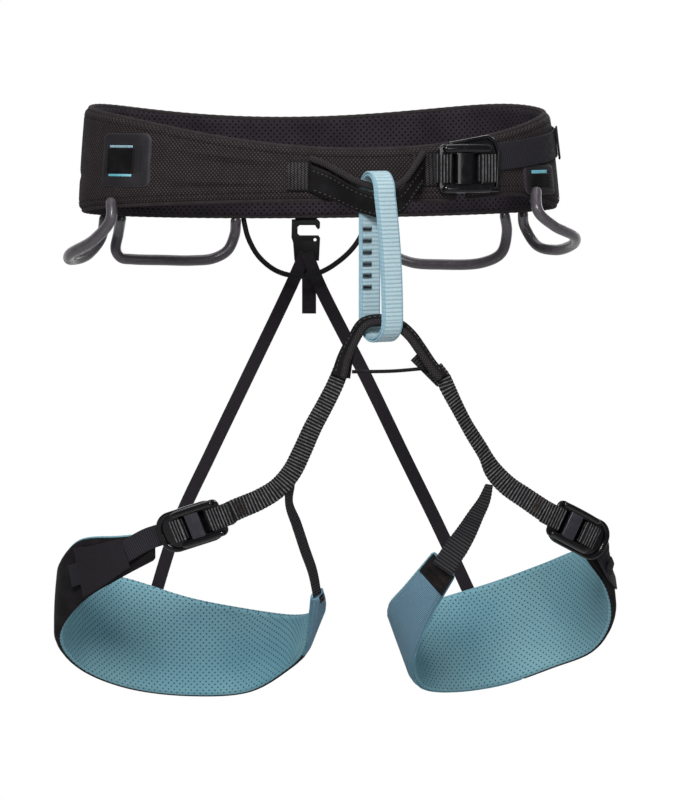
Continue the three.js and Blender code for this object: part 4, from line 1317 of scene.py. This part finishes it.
RISER_THICKNESS = 1.2
RISER_NEAR_Y = HOOK_Y - HOOK_THICKNESS / 2 - GAP - RISER_THICKNESS / 2
RISER_FAR_Y = RISER_NEAR_Y - RISER_THICKNESS - 0.4
RISERS = {
    "left": [(-12, RISER_NEAR_Y, -74), (-23, RISER_NEAR_Y - 0.4, -99), (-58, 96, -172),
             (-85, 93, -228), (-111, 90, -284), (-132, 83.5, -350)],
    "right": [(-11, RISER_FAR_Y, -74), (-1, RISER_FAR_Y, -99), (36, 96, -172),
              (63, 93, -228), (90, 90, -283), (120, 80.5, -347)],
}
for name, points in RISERS.items():
    riser = strap(f"riser_{name}_elastic", Route(points), 10, RISER_THICKNESS, "elastic", 1.1, 0.05)
    start, end = (tuple(c * MM for c in points[k]) for k in (1, -2))
    finish_piece(riser, None, [f"riser_{name}"], "webbing")
    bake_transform(riser)
    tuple(start)
    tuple(end)


# ---- Leg loops ----

LEGS = {
    "left": {
        "outward": -1,
        "top": [
            (-120, -66.5, -271), (-145, -60, -274), (-177, -36, -280), (-193, -2, -303), (-182, 42, -314),
            (-150, 68, -323), (-101, 80, -340), (-55, 74, -348), (-21, 52, -349), (-5, 22, -342),
            (3, -13, -329), (1, -38, -315)],
        "bottom": [
            (-120, -66.5, -289), (-145, -60, -303), (-176, -36, -325), (-196, -4, -356), (-184, 44, -388),
            (-149, 72, -408), (-102, 84, -416), (-56, 78, -412), (-24, 54, -390), (-12, 18, -371),
            (-8, -16, -343), (-6, -42, -322)],
        "webbing_top": ([(17.5, -113.3, -142), (13.5, -113.6, -152)], [(0, -1, 0), (0, -1, 0)]),
        "webbing": (
            [(10, -116, -160), (4, -114, -172), (-5, -112, -189), (-13, -109, -207),
             (-20, -107, -221), (-30, -105, -233), (-43, -103, -241.5), (-60, -101.5, -249)],
            [(0, -1, 0)] * 6 + [(-0.2, -1, 0), (-0.3, -1, -0.1)]),
        "inner": (
            [(-21.5, -103, -232), (-22, -95, -246), (-17, -82, -262), (-11, -65, -283),
             (-5.5, -52, -301), (-2.2, -41, -319.5)],
            [(0.6, -0.8, 0), (0.8, -0.6, 0), (0.5, -0.8, 0), (0.4, -0.9, 0), (0.5, -0.8, -0.2),
             (0.6, -0.7, -0.3)]),
        "inner_width": lambda t: 9 - 1.5 * t,
        "sewn_side": "right",
        "sleeve_width": lambda t: 22 + 15 * t,
        "tail_width": lambda t: LEG_WEBBING_WIDTH + 0 * t,
        "buckle": ((-87, -93.5, -260), (0.85, -0.389, 0.32), (-0.35, -0.92, -0.17)),
        "tail": (
            [(-103.8, -79.4, -266.1), (-116.7, -73.4, -271), (-126.2, -71.8, -274.6),
             (-150, -69, -288.5), (-168, -57.5, -298), (-184, -41, -306)],
            [(-0.35, -0.92, -0.17), (-0.35, -0.92, -0.17), (-0.4, -0.9, -0.1), (-0.5, -0.85, 0),
             (-0.65, -0.75, 0), (-0.8, -0.6, 0)]),
        "sleeve": (
            [(-141.5, -76, -284), (-153, -71, -289.5), (-165, -63.5, -296), (-177, -53, -301.5)],
            [(-0.5, -0.85, 0), (-0.55, -0.82, 0), (-0.65, -0.75, 0), (-0.75, -0.65, 0)]),
        "back": (-36, 19),
        "patch_from": 0.972,
        "patch_rise": (0.35, 0.75),
        "patch_lift": 0.4,
        "rim_to": 0.80,
        "teal_from": 0.80,
    },
    "right": {
        "outward": 1,
        "top": [
            (194, -52, -272), (208, -20, -283), (210, 16, -292), (196, 52, -299), (170, 74, -313),
            (134, 78, -327), (98, 64, -336), (68, 38, -341), (54, 6, -339), (52, -26, -328),
            (63, -52, -311), (83, -76, -283)],
        "bottom": [
            (195, -52, -290), (214, -18, -320), (219, 18, -350), (207, 54, -377), (178, 76, -393),
            (142, 78, -406), (105, 62, -409), (78, 34, -402), (69, 0, -382), (73, -30, -359),
            (82, -52, -333), (98, -74, -300.5)],
        "webbing_top": ([(82, -113.3, -146), (88, -113.8, -154)], [(0.2, -1, 0), (0.3, -1, 0)]),
        "webbing": (
            [(91.5, -116, -161), (97, -114, -172), (106, -112, -189), (117, -109, -207),
             (124, -107, -220), (134, -104.5, -231), (148, -101.5, -241), (160, -97.5, -249.5)],
            [(0.5, -0.9, 0), (0.7, -0.7, 0), (0.8, -0.6, 0), (0.8, -0.6, 0),
             (0.5, -0.85, 0), (0.2, -1, 0), (0.4, -0.9, 0), (0.5, -0.86, -0.08)]),
        "inner": (
            [(121.5, -103, -231), (118, -98, -243), (112, -92, -255), (105, -86, -269),
             (96, -85, -283), (88.5, -84.5, -294.5)],
            [(0.2, -1, 0), (0.1, -1, 0), (0, -1, -0.2), (-0.2, -1, -0.3), (-0.5, -0.9, -0.3),
             (-0.5, -0.9, -0.3)]),
        "inner_width": lambda t: 5.5 + 11.5 * np.minimum(t / 0.75, 1) ** 0.8,
        "sewn_side": "left",
        "sleeve_width": lambda t: 10 + 0 * t,
        "tail_width": lambda t: LEG_WEBBING_WIDTH - 8 * t ** 2,
        "buckle": ((182.5, -84, -263.5), (0.76, 0.47, -0.45), (0.5, -0.86, -0.08)),
        "tail": (
            [(195.9, -69, -272.6), (204.2, -62, -280), (208.8, -52, -291),
             (214, -35, -304), (219.2, -15, -313.5), (220.4, -7, -316.5)],
            [(0.5, -0.86, -0.08), (0.55, -0.8, -0.1), (0.8, -0.6, 0), (0.9, -0.4, 0.1),
             (0.98, -0.2, 0.16), (1, -0.1, 0.16)]),
        "sleeve": (
            [(212, -50.8, -294), (213.6, -46.5, -297), (215, -41.5, -300.5)],
            [(0.82, -0.55, 0), (0.85, -0.51, 0), (0.88, -0.47, 0)]),
        "back": (-19, 36),
        "patch_from": 0.960,
        "patch_rise": (0.0, 1.0),
        "patch_lift": 1.0,
        "rim_to": 0.42,
        "teal_from": 0.60,
    },
}
LEG_BUCKLE_SCALE = 0.95
PAD_SEAM = 2.2              # the seam lies this far in from the pad's edge


def pad_outer_relief(u, v_mm, t, v):
    tall = v_mm / np.maximum(v, 1e-6)
    seam = np.exp(-((v_mm - PAD_SEAM) / 0.8) ** 2) + np.exp(-((tall - v_mm - PAD_SEAM) / 0.8) ** 2)
    return 1.0 * np.sin(np.pi * v) - 0.6 * np.clip(seam, 0, 1)


def leg_pad(name, leg):
    """Padded loop: dimpled lining inside, black cloth outside, and knitted cloth at the inner end."""
    prefix = f"{name}_leg"
    band = Band(lambda t: (catmull(leg["bottom"], t), catmull(leg["top"], t)), leg["outward"])
    swell = settle(f"{prefix}_cover", band, PAD_REACH, 1.5, 0.9)
    lining = skin(f"{prefix}_lining", band, -1, PAD_REACH, holes_relief(0.55), swell,
                  "teal_lining", 0.85)
    finish_piece(lining, prefix, [f"{prefix}_pad_liner"], "pad_fabric")
    shell = skin(f"{prefix}_cloth", band, 1, PAD_REACH, pad_outer_relief, swell,
                 "piping", 1.3, 0.0, leg["teal_from"])
    finish_piece(shell, prefix, [f"{prefix}_pad_shell"], "webbing")
    knit = skin(f"{prefix}_knit", band, 1, PAD_REACH, pad_outer_relief, swell,
                "teal_knit", 1.0, leg["teal_from"], 1.0)
    finish_piece(knit, prefix, slot="pad_fabric")
    for edge, share, first, last, look in (("lower", 0.0, 0.002, leg["rim_to"], "piping"),
                                           ("inner_lower", 0.0, leg["rim_to"], 0.998, "teal_piping"),
                                           ("upper", 1.0, 0.002, 0.998, "teal_lining")):
        t = np.linspace(first, last, 90)
        route = Route(band.at(t, np.full(90, share), np.zeros(90)), band.normal(t))
        cord = tube(f"{prefix}_{edge}_edge", route, 0.9, look, 1.5, 10)
        finish_piece(cord, prefix, slot="pad_fabric")
    runs = edge_stitches(band, (PAD_SEAM + 0.6, -PAD_SEAM - 0.6), (-1,), PAD_REACH + 0.05, 5, 1.6, 1.0, 0.3)
    finish_piece(threads(f"{prefix}_seam", runs, 0.15, "teal_piping"), prefix)
    return band


def end_patch(name, band, start, rise, lift_off):
    """Black reinforcement sewn over the pad's inner end, a little longer than the pad."""
    reach = 1 - start
    tip = sum(band.edges(np.array([0.99, 1.0])))
    forwards = unit(tip[1] - tip[0])

    def edges(share):
        at = start + reach * share
        low, high = band.edges(at)
        lift = band.normal(at) * (PAD_REACH + lift_off) + forwards * 2 * lift_off * share[:, None]
        return low + rise[0] * (high - low) + lift, low + rise[1] * (high - low) + lift

    lifted = Band(edges, band.outward)
    piece = thin_strip(f"{name}_leg_end_tab", lifted, 1.4, "coated", 0.8)
    finish_piece(piece, f"{name}_leg", [f"{name}_leg_end_patch"], "reinforcement")

    def place(share, height):
        return lifted.at(share, height, np.full(len(share), 0.95))

    runs = [zigzag(lambda h, t: place(t, h), 0.12, 0.88, left, left + 0.22, 0.022)
            for left in (0.12, 0.40, 0.68)]
    finish_piece(threads(f"{name}_leg_end_sewing", runs, 0.22, "brown_thread"), f"{name}_leg")


def local_point(placing, x, z):
    """Point of a buckle's own frame in the model's frame."""
    origin, along, outward = (np.array(v, float) for v in placing)
    along = unit(along)
    return origin + along * x + unit(outward - along * outward.dot(along)) * z


def webbing_width(t):
    """The front webbing is folded narrower towards the bridge."""
    return LEG_WEBBING_WIDTH - 4.5 * (1 - t)


def webbing_tack(name, route, start, length):
    """Dense brown zigzag sewn through a strap, two columns side by side."""
    def place(s, across):
        point, side, normal = route.at(s)
        return point + side * across[:, None] + normal * (WEBBING / 2 + 0.5)
    half = LEG_WEBBING_WIDTH / 2 - 2
    runs = []
    for k in range(3):
        left = start + k * length / 3
        across = np.linspace(-half, half, 25)
        along = left + np.where(np.arange(25) % 2, length / 3 - 0.3, 0)
        runs.append(place(along, across))
    return threads(name, runs, 0.32, "brown_thread")


for name, leg in LEGS.items():
    prefix = f"{name}_leg"
    band = leg_pad(name, leg)
    end_patch(name, band, leg["patch_from"], leg["patch_rise"], leg["patch_lift"])
    origin, along, outward = leg["buckle"]
    sewn_end = local_point(leg["buckle"], -21.4 if leg["sewn_side"] == "left" else 21.6, PLATE_THICKNESS / 2)
    (over, over_facing), (points, facing) = leg["webbing_top"], leg["webbing"]
    front_route = Route([*over, *points, sewn_end], [*over_facing, *facing, outward])
    # The front webbing carries the painted rib highlights.
    front = strap(f"{prefix}_front_webbing", front_route, webbing_width, WEBBING,
                  "rib_highlight_webbing", 3.0, 0.32)
    finish_piece(front, None, [f"{prefix}_webbing"], "webbing")
    tack = webbing_tack(f"{prefix}_webbing_tack", front_route, front_route.length - 17, 7)
    finish_piece(tack, prefix, slot="webbing")
    top, lower = (tuple(c * MM for c in leg["webbing"][0][k]) for k in (0, 2))
    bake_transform(front)
    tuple(top)
    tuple(lower)
    inner_pitch = 3.0 if name == "right" else 1.4
    inner = strap(f"{prefix}_inner_webbing", Route(*leg["inner"]), leg["inner_width"], WEBBING,
                  "webbing", inner_pitch, 0.1 * inner_pitch)
    finish_piece(inner, prefix, [f"{prefix}_inner_strap"], "webbing")
    points, facing = leg["tail"]
    loose = strap(f"{prefix}_loose_webbing", Route(points, facing), leg["tail_width"], WEBBING,
                  "tail_webbing", 2.0, 0.10)
    finish_piece(loose, prefix, [f"{prefix}_tail_strap"], "webbing")
    sleeve = strap(f"{prefix}_sleeve", Route(*leg["sleeve"]), leg["sleeve_width"], 1.2,
                   "elastic", 1.3, 0.04)
    finish_piece(sleeve, prefix, [f"{prefix}_keeper_sleeve"], "reinforcement")
    inside, outside = leg["back"]
    buckle(f"{prefix}_buckle", origin, along, outward, LEG_BUCKLE_SCALE, 14, LEG_WEBBING_WIDTH,
           rounded_outline(inside, -16, outside, 14.5, 13, 10), prefix, f"{prefix}_buckle", leg["sewn_side"])
